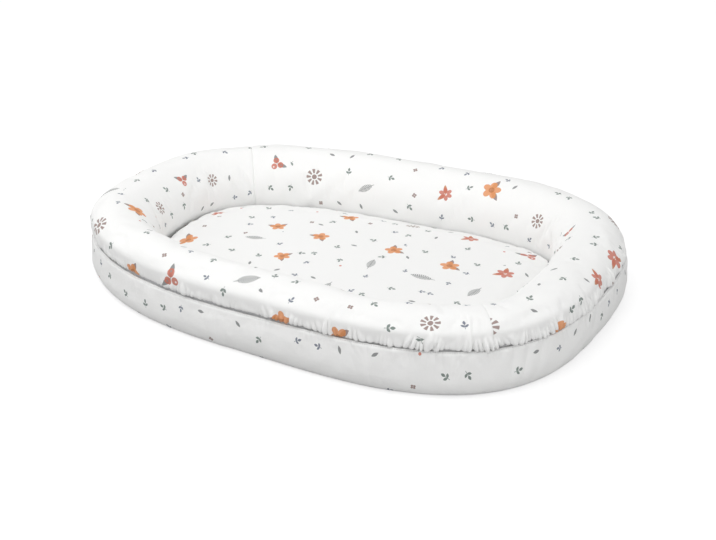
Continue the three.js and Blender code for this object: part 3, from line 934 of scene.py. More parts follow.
# %% Zip coils
def coil_section(tooth, side):
    """The corners of a coil's section, where tooth goes from 0 between two teeth to 1 on a tooth."""
    near = ZIP_HEIGHT + TOOTH_REACH * (tooth - 0.5) + side * COIL_GAP
    far = ZIP_HEIGHT + side * COIL_HEIGHT
    heads = COIL_FRONT + HEAD_SWELL * (tooth if side > 0 else 1 - tooth)
    back = COIL_BACK + 0 * heads
    outer = [(heads + HEAD_ROUNDING, far), (heads, far - side * OUTER_SHOULDER)]
    tips = [(heads, near + side * TOOTH_SHOULDER), (heads + TOOTH_SHOULDER, near)]
    return [*outer, *tips, (back, near), (back, far)]


def zip_coil(name, side):
    """A row of teeth above the zip's middle for side 1, and below it for side -1."""
    first, last = far_side_along(ZIP_END_X), far_side_along(ZIP_START_X) + ROUND
    at = np.arange(first, last, TOOTH_PITCH / POINTS_PER_TOOTH)
    section = coil_section(0.5 + 0.5 * np.cos(2 * np.pi * at / TOOTH_PITCH), side)
    spots, outs = along_outline(at)
    stations, rows = len(at), len(section)
    grid = np.empty((stations, rows, 3))
    risen = np.interp(at % ROUND, round_along, np.append(zip_rise, zip_rise[0]))
    for j, (inset, z) in enumerate(section):
        grid[:, j, :2] = spots - outs * np.asarray(inset)[:, None]
        grid[:, j, 2] = z + risen
    if side > 0:
        grid = grid[:, ::-1]
    faces = grid_faces(stations, rows, round_nest=False, round_section=True)[:, ::-1].tolist()
    ends = [list(range(rows)), list(range(stations * rows - 1, (stations - 1) * rows - 1, -1))]
    return mesh_object(name, grid.reshape(-1, 3), faces + ends)


for node, side in (("zip_coil_upper", 1), ("zip_coil_lower", -1)):
    coil = zip_coil(node + "_teeth", side)
    stands_for(coil, node)
    print(node, "has", len(coil.data.polygons), "faces")

# %% [markdown]
# The slider runs on the coils from outside. It is cast metal: a plate with rounded corners, two lips that
# reach over the coils, and two lugs with a pin between them. The pull is a tag with an eye that turns on the
# pin. Small hard pieces like these are made as by hand, from boxes and rods that are cut, joined and
# rounded, which is quicker than to write out their points. They are modelled at the origin, where they are
# easy to shape, and then moved to the zip's straight stretch on the far side. There a piece's Y is the way
# out, and its front lies at minus its inset.

# %% Boxes and rods
def alone(piece):
    """Makes a piece the only selected one, and the active one."""
    bpy.ops.object.select_all(action="DESELECT")
    piece.select_set(True)
    bpy.context.view_layer.objects.active = piece


def named(name):
    """The primitive just added, with its name and its place in its mesh."""
    piece = bpy.context.object
    piece.name = name
    bpy.ops.object.transform_apply(location=True, rotation=True, scale=True)
    return piece


def block(name, x, y, z):
    """A box between two limits on each axis, in millimetres. Z counts from the zip's middle."""
    bpy.ops.object.select_all(action="DESELECT")
    middle = [(low + high) / 2 * MM for low, high in (x, y, z)]
    middle[2] += ZIP_HEIGHT
    sizes = [(high - low) * MM for low, high in (x, y, z)]
    bpy.ops.mesh.primitive_cube_add(size=1, location=middle, scale=sizes)
    return named(name)


ROD_SIDES = 32


def rod(name, radius, y, low, high):
    """An upright rod at a Y, between two heights from the zip's middle, in millimetres."""
    bpy.ops.object.select_all(action="DESELECT")
    centre = (0, y * MM, ZIP_HEIGHT + (low + high) / 2 * MM)
    sizes = {"radius": radius * MM, "depth": (high - low) * MM}
    bpy.ops.mesh.primitive_cylinder_add(vertices=ROD_SIDES, location=centre, **sizes)
    return named(name)


SMOOTH_UP_TO = math.radians(35)


def beside_zip(piece, x):
    """Moves a piece from the origin to an X on the far side's straight stretch, for good."""
    alone(piece)
    piece.location = (x, WIDTH / 2 * (1 + TAPER * x / (LENGTH / 2)), 0)
    piece.rotation_euler.z = math.atan(TAPER * WIDTH / LENGTH)
    bpy.ops.object.transform_apply(location=True, rotation=True, scale=True)
    bpy.ops.object.shade_smooth_by_angle(angle=SMOOTH_UP_TO)
    print(piece.name, "has", len(piece.data.polygons), "faces")


print("the far side runs at", round(math.degrees(math.atan(TAPER * WIDTH / LENGTH)), 2), "degrees to X")

# %% [markdown]
# Edges and faces are picked by a test of their own: which way they run or look, and where they lie. Their
# numbers would be shorter to write, but they change with every cut that comes before.

# %% Picking, rounding and cutting
SHARP = 1.2


def edit(piece, edges=None, faces=None):
    """Opens a piece in edit mode with only the edges or faces selected that a test picks."""
    alone(piece)
    bpy.ops.object.mode_set(mode="EDIT")
    bpy.ops.mesh.select_all(action="DESELECT")
    bpy.ops.mesh.select_mode(type="FACE" if faces else "EDGE")
    mesh = bmesh.from_edit_mesh(piece.data)
    for part in mesh.faces if faces else mesh.edges:
        part.select_set((faces or edges)(part))
    bmesh.update_edit_mesh(piece.data)


def runs_along(edge, axis):
    """Whether an edge is parallel to an axis."""
    way = edge.verts[1].co - edge.verts[0].co
    return abs(way[axis]) > 0.99 * way.length


def middle_of(part):
    """The middle of an edge or a face."""
    return sum((vertex.co for vertex in part.verts), Vector()) / len(part.verts)


def is_sharp(edge):
    """Whether the two faces of an edge turn sharply."""
    return edge.calc_face_angle(0) > SHARP


def rounded(piece, radius, segments, which=is_sharp):
    """Rounds the edges that a test picks."""
    edit(piece, edges=which)
    bpy.ops.mesh.bevel(offset=radius, segments=segments)
    bpy.ops.object.mode_set(mode="OBJECT")


def apply_modifier(piece, kind, **settings):
    """Adds a modifier with these settings and applies it."""
    alone(piece)
    modifier = piece.modifiers.new(kind, kind)
    for key, value in settings.items():
        setattr(modifier, key, value)
    bpy.ops.object.modifier_apply(modifier=modifier.name)


def combine(piece, other, operation="UNION"):
    """Joins another piece to this one, or cuts it away, and removes it."""
    apply_modifier(piece, "BOOLEAN", operation=operation, solver="EXACT", object=other)
    bpy.data.objects.remove(other)


print("an edge counts as sharp from", round(math.degrees(SHARP)), "degrees")

# %% Slider
# Blocks and rods are given in millimetres, and everything else in metres.
SLIDER_X = -51 * MM
PLATE = {"x": (-4.5, 4.5), "y": (-6.65, -5.45), "z": (-3.4, 3.4)}
PLATE_CORNER = 1.7 * MM
LIP_WIDTH = 0.75 * MM
LIP_DEPTH = 1.6 * MM
LIPS_FROM = 2.9 * MM
LUGS = {"x": (-1.6, 1.6), "y": (-5.6, -2.4), "z": (-3.3, 3.3)}
LUG_GAP = {"x": (-3, 3), "y": (-5.46, 0), "z": (-2.45, 2.45)}
LUG_CORNER = 1.3 * MM
LUGS_BEYOND = -4 * MM
PIN_RADIUS = 0.7
PIN_Y = -3.55
PIN_ENDS = (-3.0, 3.0)
SLIDER_EDGE = 0.22 * MM
PLATE_UP_TO = -5.3 * MM


def looks_back(face):
    """Whether a face of the plate looks at the coils."""
    return face.normal.y < -0.9


def at_outer_corner(edge):
    """Whether an edge is an upright corner of the lugs, away from the plate."""
    return runs_along(edge, 2) and middle_of(edge).y > LUGS_BEYOND


def on_plate(edge):
    """Whether an edge is a sharp one of the plate or its lips."""
    return is_sharp(edge) and middle_of(edge).y < PLATE_UP_TO


slider = block("zip_slider_body", **PLATE)
rounded(slider, PLATE_CORNER, segments=5, which=lambda edge: runs_along(edge, 1))
edit(slider, faces=looks_back)
bpy.ops.mesh.inset(thickness=LIP_WIDTH)
bpy.ops.object.mode_set(mode="OBJECT")
edit(slider, faces=lambda face: looks_back(face) and abs(middle_of(face).z - ZIP_HEIGHT) > LIPS_FROM)
bpy.ops.mesh.extrude_region_move(TRANSFORM_OT_translate={"value": (0, -LIP_DEPTH, 0)})
bpy.ops.object.mode_set(mode="OBJECT")
lugs = block("lugs", **LUGS)
rounded(lugs, LUG_CORNER, segments=5, which=at_outer_corner)
combine(lugs, block("gap", **LUG_GAP), "DIFFERENCE")
combine(slider, lugs)
combine(slider, rod("pin", PIN_RADIUS, PIN_Y, *PIN_ENDS))
rounded(slider, SLIDER_EDGE, segments=2, which=on_plate)
beside_zip(slider, SLIDER_X)
stands_for(slider, "zip_slider", "slider")

# %% Pull
TAG = {"x": (-24, -1.0), "y": (-4.2, -2.9), "z": (-2.2, 2.2)}
TAG_CORNER = 1.9 * MM
TAG_TIP = -20 * MM
TAG_BORDER = 0.8 * MM
TAG_THINNED = (1, 0.55, 1)
TAG_MIDDLE = (-12 * MM, PIN_Y * MM, ZIP_HEIGHT)
EYE_RADIUS = 1.6
HOLE_RADIUS = 0.95
HOLE_ENDS = (-4, 4)
PULL_EDGE = 0.18 * MM


def at_tip(edge):
    """Whether an edge is a corner at the tag's free end."""
    return runs_along(edge, 1) and middle_of(edge).x < TAG_TIP


pull = block("zip_pull_tag", **TAG)
rounded(pull, TAG_CORNER, segments=6, which=at_tip)
edit(pull, faces=lambda face: abs(face.normal.y) > 0.9)
bpy.ops.mesh.inset(thickness=TAG_BORDER, use_individual=True)
bpy.ops.transform.resize(value=TAG_THINNED, center_override=TAG_MIDDLE)
bpy.ops.object.mode_set(mode="OBJECT")
combine(pull, rod("eye", EYE_RADIUS, PIN_Y, *TAG["z"]))
combine(pull, rod("hole", HOLE_RADIUS, PIN_Y, *HOLE_ENDS), "DIFFERENCE")
rounded(pull, PULL_EDGE, segments=2)
beside_zip(pull, SLIDER_X)
stands_for(pull, "zip_pull", "pull")

# %% End stops
STOP_PLACES = {"zip_stop_start": -63.9 * MM, "zip_stop_end": -74.1 * MM}
STOP = {"x": (-1.5, 1.5), "y": (-8.5, -7.25), "z": (-1.95, 1.95)}
STOP_BORDER = 0.5 * MM
STOP_DISH = 0.3 * MM
STOP_EDGE = 0.2 * MM

for node, x in STOP_PLACES.items():
    stop = block(node + "_clamp", **STOP)
    edit(stop, faces=lambda face: face.normal.y > 0.9)
    bpy.ops.mesh.inset(thickness=STOP_BORDER)
    bpy.ops.transform.translate(value=(0, -STOP_DISH, 0))
    bpy.ops.object.mode_set(mode="OBJECT")
    rounded(stop, STOP_EDGE, segments=2)
    beside_zip(stop, x)
    stands_for(stop, node)

# %% [markdown]
# The pad is a cushion: a crowned closed form whose sides pull in at the seam. A subdivided box would give a
# soft form too, but with no crown of its own and no slack. So a rough body of rings is remeshed into even
# squares, puffed out by a cloth simulation, and smoothed by a subdivision. Then it is cut at the seam into
# the upper skin and the lower one, and each gets its thickness. The foam core is the same body, moved in.

# %% The pad's rough body
PAD_INSET = 108 * MM
PAD_FOOT = 9.8 * MM
PAD_SEAM = 19.4 * MM
PAD_EDGE_TOP = 30.8 * MM
PAD_CROWN = 9 * MM
PAD_ROUNDING = 17 * MM


def pad_rings():
    """The rings of the pad's body, from the middle of its underside to the middle of its top."""
    foot = quarter((PAD_INSET + 8 * MM, PAD_FOOT), (PAD_INSET + 1.2 * MM, 15.5 * MM), True, 5)
    waist = [(PAD_INSET + 2.6 * MM, PAD_SEAM), (PAD_INSET + 0.8 * MM, 22.6 * MM)]
    top = quarter((PAD_INSET, 24.6 * MM), (PAD_INSET + PAD_ROUNDING, PAD_EDGE_TOP), False, 7)
    under = [(share, PAD_INSET + 8 * MM, PAD_FOOT) for share in (0.2, 0.4, 0.6, 0.8, 0.95)]
    side = [(1, inset, z) for inset, z in [*foot, *waist, *top]]
    shares = (0.97, 0.93, 0.88, 0.8, 0.7, 0.55, 0.4, 0.2)
    crown = [(share, PAD_INSET + PAD_ROUNDING, PAD_EDGE_TOP + PAD_CROWN * (1 - share**3)) for share in shares]
    return [*under, *side, *crown]


pad = oval_body("pad_body", pad_rings(), PAD_FOOT, PAD_EDGE_TOP + PAD_CROWN, end_extra)
print("the pad's rough body has", len(pad.data.polygons), "faces")

# %% Remeshed, puffed out and smoothed
PAD_VOXEL = 5 * MM
PAD_MOVE = 5 * MM
SEAM_BAND = 3 * MM
FOOT_BAND = 1 * MM
SHARE_OF_MOVE = np.array([0.25, 0.25, 1])

apply_modifier(pad, "REMESH", mode="VOXEL", voxel_size=PAD_VOXEL)
print("the pad has", len(pad.data.vertices), "points")
before = points_of(pad)
z = before[:, 2]
sewn = np.nonzero((np.abs(z - PAD_SEAM) < SEAM_BAND) | (z < PAD_FOOT + FOOT_BAND))[0]
after = simulated(pad, sewn, PRESSURE, FRAMES)
after = capped(before, before + (after - before) * SHARE_OF_MOVE, PAD_MOVE)
pad.data.vertices.foreach_set("co", after.reshape(-1))
pad.data.update()


# %% Cut at the seam into two skins, and the core
def half_of(body, name, height, above):
    """The part of a body above or below a height, open at the cut."""
    piece = body.copy()
    piece.data = body.data.copy()
    piece.name = name
    bpy.context.collection.objects.link(piece)
    mesh = bmesh.new()
    mesh.from_mesh(piece.data)
    everything = mesh.verts[:] + mesh.edges[:] + mesh.faces[:]
    cut = {"plane_co": (0, 0, height), "plane_no": (0, 0, 1)}
    bmesh.ops.bisect_plane(mesh, geom=everything, clear_inner=above, clear_outer=not above, **cut)
    mesh.to_mesh(piece.data)
    mesh.free()
    return piece


SEAM_GAP = 0.2 * MM
CORE_DEPTH = 2.0 * MM

pad_top = half_of(pad, "pad_cover_top_cloth", PAD_SEAM + SEAM_GAP, True)
pad_base = half_of(pad, "pad_cover_base_cloth", PAD_SEAM - SEAM_GAP, False)
apply_modifier(pad_top, "SUBSURF", levels=1, render_levels=1)
for piece in (pad_top, pad_base):
    apply_modifier(piece, "SOLIDIFY", thickness=CLOTH_THICKNESS, offset=-1, use_even_offset=True)
    mapped_from_above(piece)
pad.name = "pad_core_foam"
apply_modifier(pad, "DISPLACE", strength=-CORE_DEPTH, mid_level=0)
for piece, node, slot in (
    (pad_top, "pad_cover_top", "cover_cloth"),
    (pad_base, "pad_cover_base", "band_cloth"),
    (pad, "pad_core", "foam"),
):
    piece.data.shade_smooth()
    stands_for(piece, node, "pad")
    print(piece.name, "has", len(piece.data.polygons), "faces")

# %% [markdown]
# A finish is worked out point by point from a few formulas, so it stays sharp at any distance, where an
# image would blur. Wiring dozens of Math nodes by hand is hard to read. Instead a small class stands for a
# number that a material knows at each point of the surface: adding or comparing two of them makes the Math
# node that does so.

# %% Formulas as nodes
class Value:
    """A number that a material works out at each point."""

    def __init__(self, tree, socket):
        self.tree = tree
        self.socket = socket

    def do(self, operation, *others):
        step = self.tree.nodes.new("ShaderNodeMath")
        step.operation = operation
        for number, entry in zip((self, *others), step.inputs):
            if isinstance(number, Value):
                self.tree.links.new(number.socket, entry)
            else:
                entry.default_value = number
        return Value(self.tree, step.outputs[0])

    def __add__(self, other):
        return self.do("ADD", other)

    def __sub__(self, other):
        return self.do("SUBTRACT", other)

    def __mul__(self, other):
        return self.do("MULTIPLY", other)

    def __truediv__(self, other):
        return self.do("DIVIDE", other)

    def __abs__(self):
        return self.do("ABSOLUTE")

    def below(self, limit, soft):
        """1 where the number is below a limit and 0 above it, with a soft step between."""
        step = (self - limit) / -soft + 0.5
        step.socket.node.use_clamp = True
        return step

    def between(self, low, high):
        """1 between two limits and 0 elsewhere."""
        return self.do("GREATER_THAN", low) * self.do("LESS_THAN", high)

    def atleast(self, other):
        return self.do("MAXIMUM", other)


trial = bpy.data.node_groups.new("trial", "ShaderNodeTree")
total = Value(trial, trial.nodes.new("ShaderNodeValue").outputs[0]) * 2 + 1
print("doubling a number and adding one takes", len(trial.nodes) - 1, "Math nodes")
bpy.data.node_groups.remove(trial)


# %% Parts that every finish uses
def new_finish(name, roughness, sheen=0.0, metallic=0.0, specular=0.5):
    """A new material with its tree and shader."""
    material = bpy.data.materials.new(name)
    material.use_nodes = True
    shader = material.node_tree.nodes["Principled BSDF"]
    shader.inputs["Roughness"].default_value = roughness
    shader.inputs["Sheen Weight"].default_value = sheen
    shader.inputs["Sheen Roughness"].default_value = 0.4
    shader.inputs["Specular IOR Level"].default_value = specular
    shader.inputs["Metallic"].default_value = metallic
    return material, material.node_tree, shader


def flat_cloth(tree):
    """The place on the flat cloth, as a vector socket and as two values in metres."""
    map_node = tree.nodes.new("ShaderNodeUVMap")
    map_node.uv_map = FLAT_MAP
    apart = tree.nodes.new("ShaderNodeSeparateXYZ")
    tree.links.new(map_node.outputs[0], apart.inputs[0])
    return map_node.outputs[0], Value(tree, apart.outputs[0]), Value(tree, apart.outputs[1])


def noise(tree, place, scale, stretch=(1, 1, 1), detail=3):
    """Noise of that many features to the metre, from 0 to 1."""
    mapping = tree.nodes.new("ShaderNodeMapping")
    mapping.inputs["Scale"].default_value = stretch
    tree.links.new(place, mapping.inputs[0])
    texture = tree.nodes.new("ShaderNodeTexNoise")
    texture.inputs["Scale"].default_value = scale
    texture.inputs["Detail"].default_value = detail
    tree.links.new(mapping.outputs[0], texture.inputs[0])
    return Value(tree, texture.outputs[0])


def linear(red, green, blue):
    """A colour as it is written in a picture, turned into the shader's own measure."""
    shares = [value / 255 for value in (red, green, blue)]
    return (*[s / 12.92 if s <= 0.04045 else ((s + 0.055) / 1.055) ** 2.4 for s in shares], 1)


def darker(tone, share):
    """A tone at that share of its brightness."""
    return [value * share for value in tone[:3]] + [1]


def blend(tree, share, first, second):
    """One colour over another. A colour is four numbers or a socket."""
    mix = tree.nodes.new("ShaderNodeMix")
    mix.data_type = "RGBA"
    tree.links.new(share.socket, mix.inputs["Factor"])
    entries = [entry for entry in mix.inputs if entry.type == "RGBA"]
    for colour, entry in zip((first, second), entries):
        if isinstance(colour, bpy.types.NodeSocket):
            tree.links.new(colour, entry)
        else:
            entry.default_value = colour
    return next(out for out in mix.outputs if out.type == "RGBA")


def bumped(tree, shader, height):
    """Gives the shader a bump of that height in metres."""
    bump = tree.nodes.new("ShaderNodeBump")
    bump.inputs["Strength"].default_value = 1
    bump.inputs["Distance"].default_value = 1
    tree.links.new(height.socket, bump.inputs["Height"])
    tree.links.new(bump.outputs[0], shader.inputs["Normal"])


print("a middle grey of 128 is", round(linear(128, 128, 128)[0], 3), "in the shader's measure")

# %% [markdown]
# The print is small and scattered: bigger motifs about 30 mm across, in orange, red-brown and grey, and many
# small sprigs between them in grey and grey-green. Flat shapes laid on the cloth could stand for them, but
# they would float over its folds. A Voronoi texture deals the cloth out into cells instead, one to a motif.
# Measured from its cell's middle and turned by the cell's own chance, a motif is a formula: petals are a
# circle whose radius goes up and down with the angle, and a leaf is what lies between two arcs.

# %% A cell's own axes, and chances
def cells(tree, place, size, jitter, shift):
    """Splits the cloth into cells: the place in a cell, turned at random, and the cell's two chances."""
    moved = tree.nodes.new("ShaderNodeMapping")
    moved.inputs["Location"].default_value = (*shift, 0)
    tree.links.new(place, moved.inputs[0])
    texture = tree.nodes.new("ShaderNodeTexVoronoi")
    texture.voronoi_dimensions = "2D"
    texture.inputs["Scale"].default_value = 1 / size
    texture.inputs["Randomness"].default_value = jitter
    tree.links.new(moved.outputs[0], texture.inputs[0])
    offset = tree.nodes.new("ShaderNodeVectorMath")
    offset.operation = "SUBTRACT"
    tree.links.new(moved.outputs[0], offset.inputs[0])
    tree.links.new(texture.outputs["Position"], offset.inputs[1])
    colour = tree.nodes.new("ShaderNodeSeparateColor")
    tree.links.new(texture.outputs["Color"], colour.inputs[0])
    chances = [Value(tree, out) for out in colour.outputs]
    turned = tree.nodes.new("ShaderNodeVectorRotate")
    turned.rotation_type = "Z_AXIS"
    tree.links.new(offset.outputs[0], turned.inputs["Vector"])
    tree.links.new((chances[0] * (2 * math.pi)).socket, turned.inputs["Angle"])
    apart = tree.nodes.new("ShaderNodeSeparateXYZ")
    tree.links.new(turned.outputs[0], apart.inputs[0])
    x, y = Value(tree, apart.outputs[0]), Value(tree, apart.outputs[1])
    return x, y, chances[1], chances[2]


def radius(x, y):
    """How far a place is from its cell's middle."""
    return (x * x + y * y).do("SQRT")


def angle(x, y):
    """Which way a place lies from its cell's middle."""
    return y.do("ARCTAN2", x)


print("motifs are measured from the middle of their cells")


# %% Blossoms and leaves
EDGE = 0.5 * MM


def petals(x, y, count, size):
    """A blossom seen from above, with a pale heart."""
    r = radius(x, y)
    lobe = abs((angle(x, y) * (count / 2)).do("COSINE"))
    edge = (lobe * 0.42 + 0.58) * size
    heart = r.below(0.2 * size, EDGE)
    return (r - edge).below(0, EDGE) * (heart * -0.75 + 1)


def leaf(x, y, length, width):
    """A pointed leaf along x from the origin."""
    along = x / length
    half = along * (along * -1 + 1) * (4 * width / 2)
    return (abs(y) - half).below(0, EDGE) * x.do("GREATER_THAN", 0)


def leaf_pair(x, y, length, width):
    """Two leaves that start at the origin, with a third of a turn between them."""
    side = abs(y)
    slant = math.sqrt(3) / 2
    along = x * 0.5 + side * slant
    across = side * 0.5 - x * slant
    return leaf(along, across, length, width)


def fern(x, y, length, width):
    """A leaf cut into narrow leaflets, with its rib."""
    rib = abs(y).below(0.5 * MM, EDGE) * x.between(-0.6 * length, 0.5 * length)
    cuts = ((x - abs(y) * 0.7) * (2 * math.pi / (3.4 * MM))).do("SINE").below(0.35, 0.6)
    blade = leaf(x + length / 2, y, length, width)
    return (blade * cuts).atleast(rib)


# %% Berries, seed heads and sprigs
def berries(x, y, size):
    """Three round berries close together, each with a small glint."""
    r = radius(x, y)
    third = 2 * math.pi / 3
    folded = (angle(x, y) + 10 * third).do("MODULO", third) - third / 2
    bx = r * folded.do("COSINE") - 0.5 * size
    by = r * folded.do("SINE")
    berry = radius(bx, by).below(0.4 * size, EDGE)
    glint = radius(bx - 0.12 * size, by).below(0.11 * size, EDGE)
    return berry * (glint * -0.8 + 1)


def seed_head(x, y, size):
    """Fine rays with a round heart, such as a seed head has."""
    r = radius(x, y)
    rays = (angle(x, y) * 9).do("COSINE").below(0.15, 0.8)
    ring = abs(r - 0.72 * size).below(0.28 * size, EDGE)
    heart = r.below(0.3 * size, EDGE)
    return (ring * rays).atleast(heart)


def sprig(x, y, size):
    """A short stem with a leaf on each side and one at its tip."""
    stem = abs(y).below(0.35 * MM, EDGE) * x.between(-size, 0.4 * size)
    tip = leaf(x, y, size, 0.56 * size)
    back, side = x + 0.5 * size, abs(y)
    along = back * 0.6 + side * 0.8
    across = side * 0.6 - back * 0.8
    return stem.atleast(tip).atleast(leaf(along, across, 0.9 * size, 0.5 * size))


# %% The whole print
ORANGE = linear(226, 152, 98)
AMBER = linear(196, 128, 84)
RUST = linear(203, 122, 104)
BROWN = linear(150, 128, 122)
GREY = linear(134, 136, 136)
SAGE = linear(112, 126, 120)
SLATE = linear(108, 116, 132)
INK = 0.9
BIG_CELL = 104 * MM
BIG_JITTER = 0.5
SMALL_CELL = 47 * MM
SMALL_JITTER = 0.75
SMALL_SHIFT = (0.31, 0.17)
KEEP_CLEAR = 27 * MM


def big_motifs(tree, place, ground, shift):
    """The bigger motifs over a ground colour, and how far each point is from the nearest one."""
    x, y, kind, size = cells(tree, place, BIG_CELL, BIG_JITTER, shift)
    scale = size * 0.3 + 0.85
    x, y = x / scale, y / scale
    r = radius(x, y)
    kinds = (
        (leaf_pair(x, y, 22 * MM, 8 * MM), BROWN, 0.0, 0.25),
        (petals(x, y, 5, 15.5 * MM), ORANGE, 0.0, 0.25),
        (r.below(4.8 * MM, EDGE), AMBER, 0.0, 0.25),
        (leaf_pair(x, y, 21 * MM, 7.5 * MM), GREY, 0.25, 0.42),
        (berries(x, y, 14.5 * MM), RUST, 0.25, 0.42),
        (leaf_pair(x, y, 20 * MM, 7 * MM), AMBER, 0.42, 0.58),
        (petals(x, y, 6, 14 * MM), RUST, 0.42, 0.58),
        (seed_head(x, y, 13.5 * MM), BROWN, 0.58, 0.8),
        (fern(x, y, 36 * MM, 14 * MM), GREY, 0.8, 1.01),
    )
    colour = ground
    for shape, ink, low, high in kinds:
        colour = blend(tree, shape * kind.between(low, high) * INK, colour, ink)
    return colour, r


def small_motifs(tree, place, ground, shift, from_big=None):
    """The small sprigs and dots over a ground colour, clear of the bigger motifs."""
    x, y, kind, _ = cells(tree, place, SMALL_CELL, SMALL_JITTER, shift)
    r = radius(x, y)
    kinds = (
        (sprig(x, y, 7.4 * MM), SAGE, 0.0, 0.34),
        (sprig(x, y, 6.4 * MM), SLATE, 0.34, 0.6),
        (leaf(x + 6 * MM, y, 12 * MM, 4.6 * MM), GREY, 0.6, 0.8),
        (petals(x, y, 4, 4.4 * MM), BROWN, 0.8, 0.94),
        (r.below(2.2 * MM, EDGE), RUST, 0.94, 1.01),
    )
    clear = from_big.do("GREATER_THAN", KEEP_CLEAR) if from_big else 1
    colour = ground
    for shape, ink, low, high in kinds:
        colour = blend(tree, shape * kind.between(low, high) * INK * clear, colour, ink)
    return colour


print("a big motif to each", round(BIG_CELL / MM), "mm, a small one to each", round(SMALL_CELL / MM), "mm")

# %% [markdown]
# Cotton itself is nearly white. Close to, it shows its threads, some of them thicker than others, and soft
# creases. Modelling threads of 0.6 mm is out of the question, so a bump gives them: a product of two waves,
# one along the cloth and one across it. Beside a gathered seam the cloth is ruched too finely for the mesh,
# and a stretched noise that dies away from the seam gives it that. A row of stitches runs beside the zip on
# both cloths. Its thread stands up, and the cloth dips along it. The thread is also coloured darker than the
# cloth, which is painted shade along the stitches.

# %% Cotton
COTTON = linear(248, 248, 247)
UNBLEACHED = linear(232, 232, 230)
# The stitch thread's tone is darker than the cloth's. That darkness is painted shade along the stitches.
THREAD_WITH_PAINTED_SHADE = linear(222, 222, 221)
# How many features of each kind there are to the metre.
SLUBS = 60
PATCHES = 9
CREASES = 45
RUCHES = 130
THREAD = 0.6 * MM
THREAD_HEIGHT = 0.03 * MM
SLUB_HEIGHT = 0.04 * MM
RUCHE_HEIGHT = 2.2 * MM
RUCHE_REACH = 11 * MM
STITCH_PITCH = 3.4 * MM
STITCHES_FROM_SEAM = 3.2 * MM
STITCH_HALF = 0.4 * MM
STITCH_HEIGHT = 0.3 * MM
DIP_REACH = 0.9 * MM
DIP_DEPTH = 0.5 * MM


def stitching(along, from_seam):
    """A row of stitches beside a seam: where its thread is, and how much the cloth dips, both from 0 to 1."""
    off_line = abs(from_seam - STITCHES_FROM_SEAM)
    dashes = (along * (2 * math.pi / STITCH_PITCH)).do("SINE").below(0.5, 0.3)
    return off_line.below(STITCH_HALF, STITCH_HALF / 2) * dashes, (off_line / -DIP_REACH).do("EXPONENT")


def cotton(name, tone, printed, seam_at=None, big=True, shift=(0, 0), creased=0.6 * MM):
    """Woven cotton, plain or printed, ruched beside a seam that lies that far across it."""
    material, tree, shader = new_finish(name, roughness=0.88, sheen=0.05, specular=0.2)
    place, along, across = flat_cloth(tree)
    slub = noise(tree, place, SLUBS, (1, 14, 1)) + noise(tree, place, SLUBS, (14, 1, 1))
    patches = noise(tree, place, PATCHES, detail=2)
    ground = blend(tree, slub * 0.5, darker(tone, 0.955), tone)
    ground = blend(tree, patches * 0.35, ground, darker(tone, 0.96))
    if printed:
        ground, from_big = big_motifs(tree, place, ground, shift) if big else (ground, None)
        small_shift = [start + extra for start, extra in zip(shift, SMALL_SHIFT)]
        ground = small_motifs(tree, place, ground, small_shift, from_big)
    wave = 2 * math.pi / THREAD
    weave = (along * wave).do("SINE") * (across * wave).do("SINE")
    creases = noise(tree, place, CREASES, detail=4)
    height = weave * THREAD_HEIGHT + slub * SLUB_HEIGHT + creases * creased
    if seam_at is not None:
        ruche = noise(tree, place, RUCHES, (1, 0.22, 1), detail=3)
        from_seam = abs(across - seam_at)
        height = height + (ruche - 0.5) * (from_seam / -RUCHE_REACH).do("EXPONENT") * RUCHE_HEIGHT
        thread, dip = stitching(along, from_seam)
        height = height + thread * STITCH_HEIGHT - dip * DIP_DEPTH
        # The stitches are painted darker here. The thread is real, and its darker tone is painted shade.
        ground = blend(tree, thread * 0.7, ground, THREAD_WITH_PAINTED_SHADE)
    tree.links.new(ground, shader.inputs["Base Color"])
    bumped(tree, shader, height)
    return material


BAND_LOOK = {"seam_at": float(band_across[-1]), "big": False, "shift": (0.2, 0.5), "creased": 1.6 * MM}
ring_cotton = cotton("printed_cotton_gathered", COTTON, True, seam_at=0.0)
pad_cotton = cotton("printed_cotton_smooth", COTTON, True, shift=(0.4, 0.9))
band_cotton = cotton("printed_cotton_band", COTTON, True, **BAND_LOOK)
plain_cotton = cotton("plain_cotton", COTTON, False)
lining_cotton = cotton("lining_cotton", UNBLEACHED, False)
print("the ring's cotton has", len(ring_cotton.node_tree.nodes), "nodes")

# %% [markdown]
# The hidden and small pieces get finishes of their own, because they show when the pad is lifted or the view
# is close. Fibre and foam are a noise with height. Tape and elastic have ribs across them, which follow the
# flat map as the threads do. Nylon and enamel are nearly even, so a plain colour would do from afar, but
# faint marks keep them from looking like wax.

# %% Fibre, foam, elastic, zip tape, nylon and enamel
def on_object(tree):
    """The place on the object, in metres."""
    return tree.nodes.new("ShaderNodeTexCoord").outputs["Object"]


def fluffy(name, tone, scale, depth):
    """A finish of soft tufts or foam cells, whose tone varies at random and is darker in their hollows, as
    painted shade.
    """
    material, tree, shader = new_finish(name, roughness=0.95, sheen=0.1)
    tufts = noise(tree, on_object(tree), scale, detail=6)
    # The tone follows the tufts' height. It varies at random, and it is darker in the hollows, which is
    # painted shade.
    colour = blend(tree, tufts, darker(tone, 0.9), tone)
    tree.links.new(colour, shader.inputs["Base Color"])
    bumped(tree, shader, tufts * depth)
    return material


RIB_THREAD = 0.5 * MM


def ribbed(name, tone, pitch, depth, roughness):
    """Woven tape or elastic, with ribs across its length, and painted shade in the grooves between them."""
    material, tree, shader = new_finish(name, roughness)
    _, along, across = flat_cloth(tree)
    ribs = (along * (2 * math.pi / pitch)).do("SINE")
    threads = (across * (2 * math.pi / RIB_THREAD)).do("SINE")
    # The colour follows the ribs' height: it is darker in the grooves, which is painted shade.
    shade = ribs * 0.25 + threads * 0.15 + 0.55
    colour = blend(tree, shade, darker(tone, 0.86), tone)
    tree.links.new(colour, shader.inputs["Base Color"])
    bumped(tree, shader, (ribs + threads * 0.5) * depth)
    return material


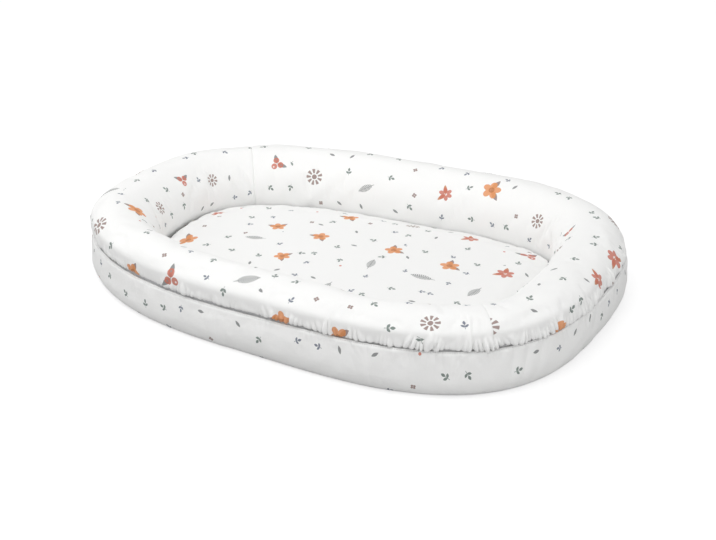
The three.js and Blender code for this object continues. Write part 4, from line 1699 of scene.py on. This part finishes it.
def moulded(name, tone, roughness, metallic=0.0):
    """Nylon or enamelled metal: nearly even, with faint marks from use."""
    material, tree, shader = new_finish(name, roughness, metallic=metallic)
    marks = noise(tree, on_object(tree), 700, detail=4)
    colour = blend(tree, marks, darker(tone, 0.9), tone)
    tree.links.new(colour, shader.inputs["Base Color"])
    rough = marks * 0.2 + (roughness - 0.1)
    tree.links.new(rough.socket, shader.inputs["Roughness"])
    bumped(tree, shader, marks * (0.02 * MM))
    return material


fibre = fluffy("polyester_fibre", linear(238, 238, 236), 220, 1.2 * MM)
foam = fluffy("cream_foam", linear(238, 230, 205), 900, 0.5 * MM)
elastic_weave = ribbed("ribbed_elastic", linear(232, 232, 230), 1.6 * MM, 0.15 * MM, 0.7)
tape_weave = ribbed("woven_zip_tape", linear(214, 214, 214), 1.0 * MM, 0.06 * MM, 0.8)
nylon = moulded("zip_nylon", linear(196, 196, 198), 0.45)
enamel = moulded("grey_enamel", linear(176, 176, 178), 0.35, metallic=0.3)
print("finishes so far:", len(bpy.data.materials))

# %% Each piece's finish
FINISHES = {
    "ring_cover_near_cloth": ring_cotton,
    "ring_cover_far_cloth": ring_cotton,
    "side_band_cloth": band_cotton,
    "base_panel_cloth": plain_cotton,
    "well_floor_cloth": plain_cotton,
    "pad_cover_top_cloth": pad_cotton,
    "pad_cover_base_cloth": plain_cotton,
    "base_wadding_fibre": fibre,
    "ring_filling_fibre": fibre,
    "pad_core_foam": foam,
    "ring_lining_upper_cloth": lining_cotton,
    "ring_lining_lower_cloth": lining_cotton,
    "gather_elastic_band": elastic_weave,
    "zip_tape_lower_woven": tape_weave,
    "zip_tape_upper_woven": tape_weave,
    "zip_coil_lower_teeth": nylon,
    "zip_coil_upper_teeth": nylon,
    "zip_stop_start_clamp": nylon,
    "zip_stop_end_clamp": nylon,
    "zip_slider_body": enamel,
    "zip_pull_tag": enamel,
}
for name, finish in FINISHES.items():
    mesh = bpy.data.objects[name].data
    mesh.materials.clear()
    mesh.materials.append(finish)
print(len(FINISHES), "pieces have their finish")
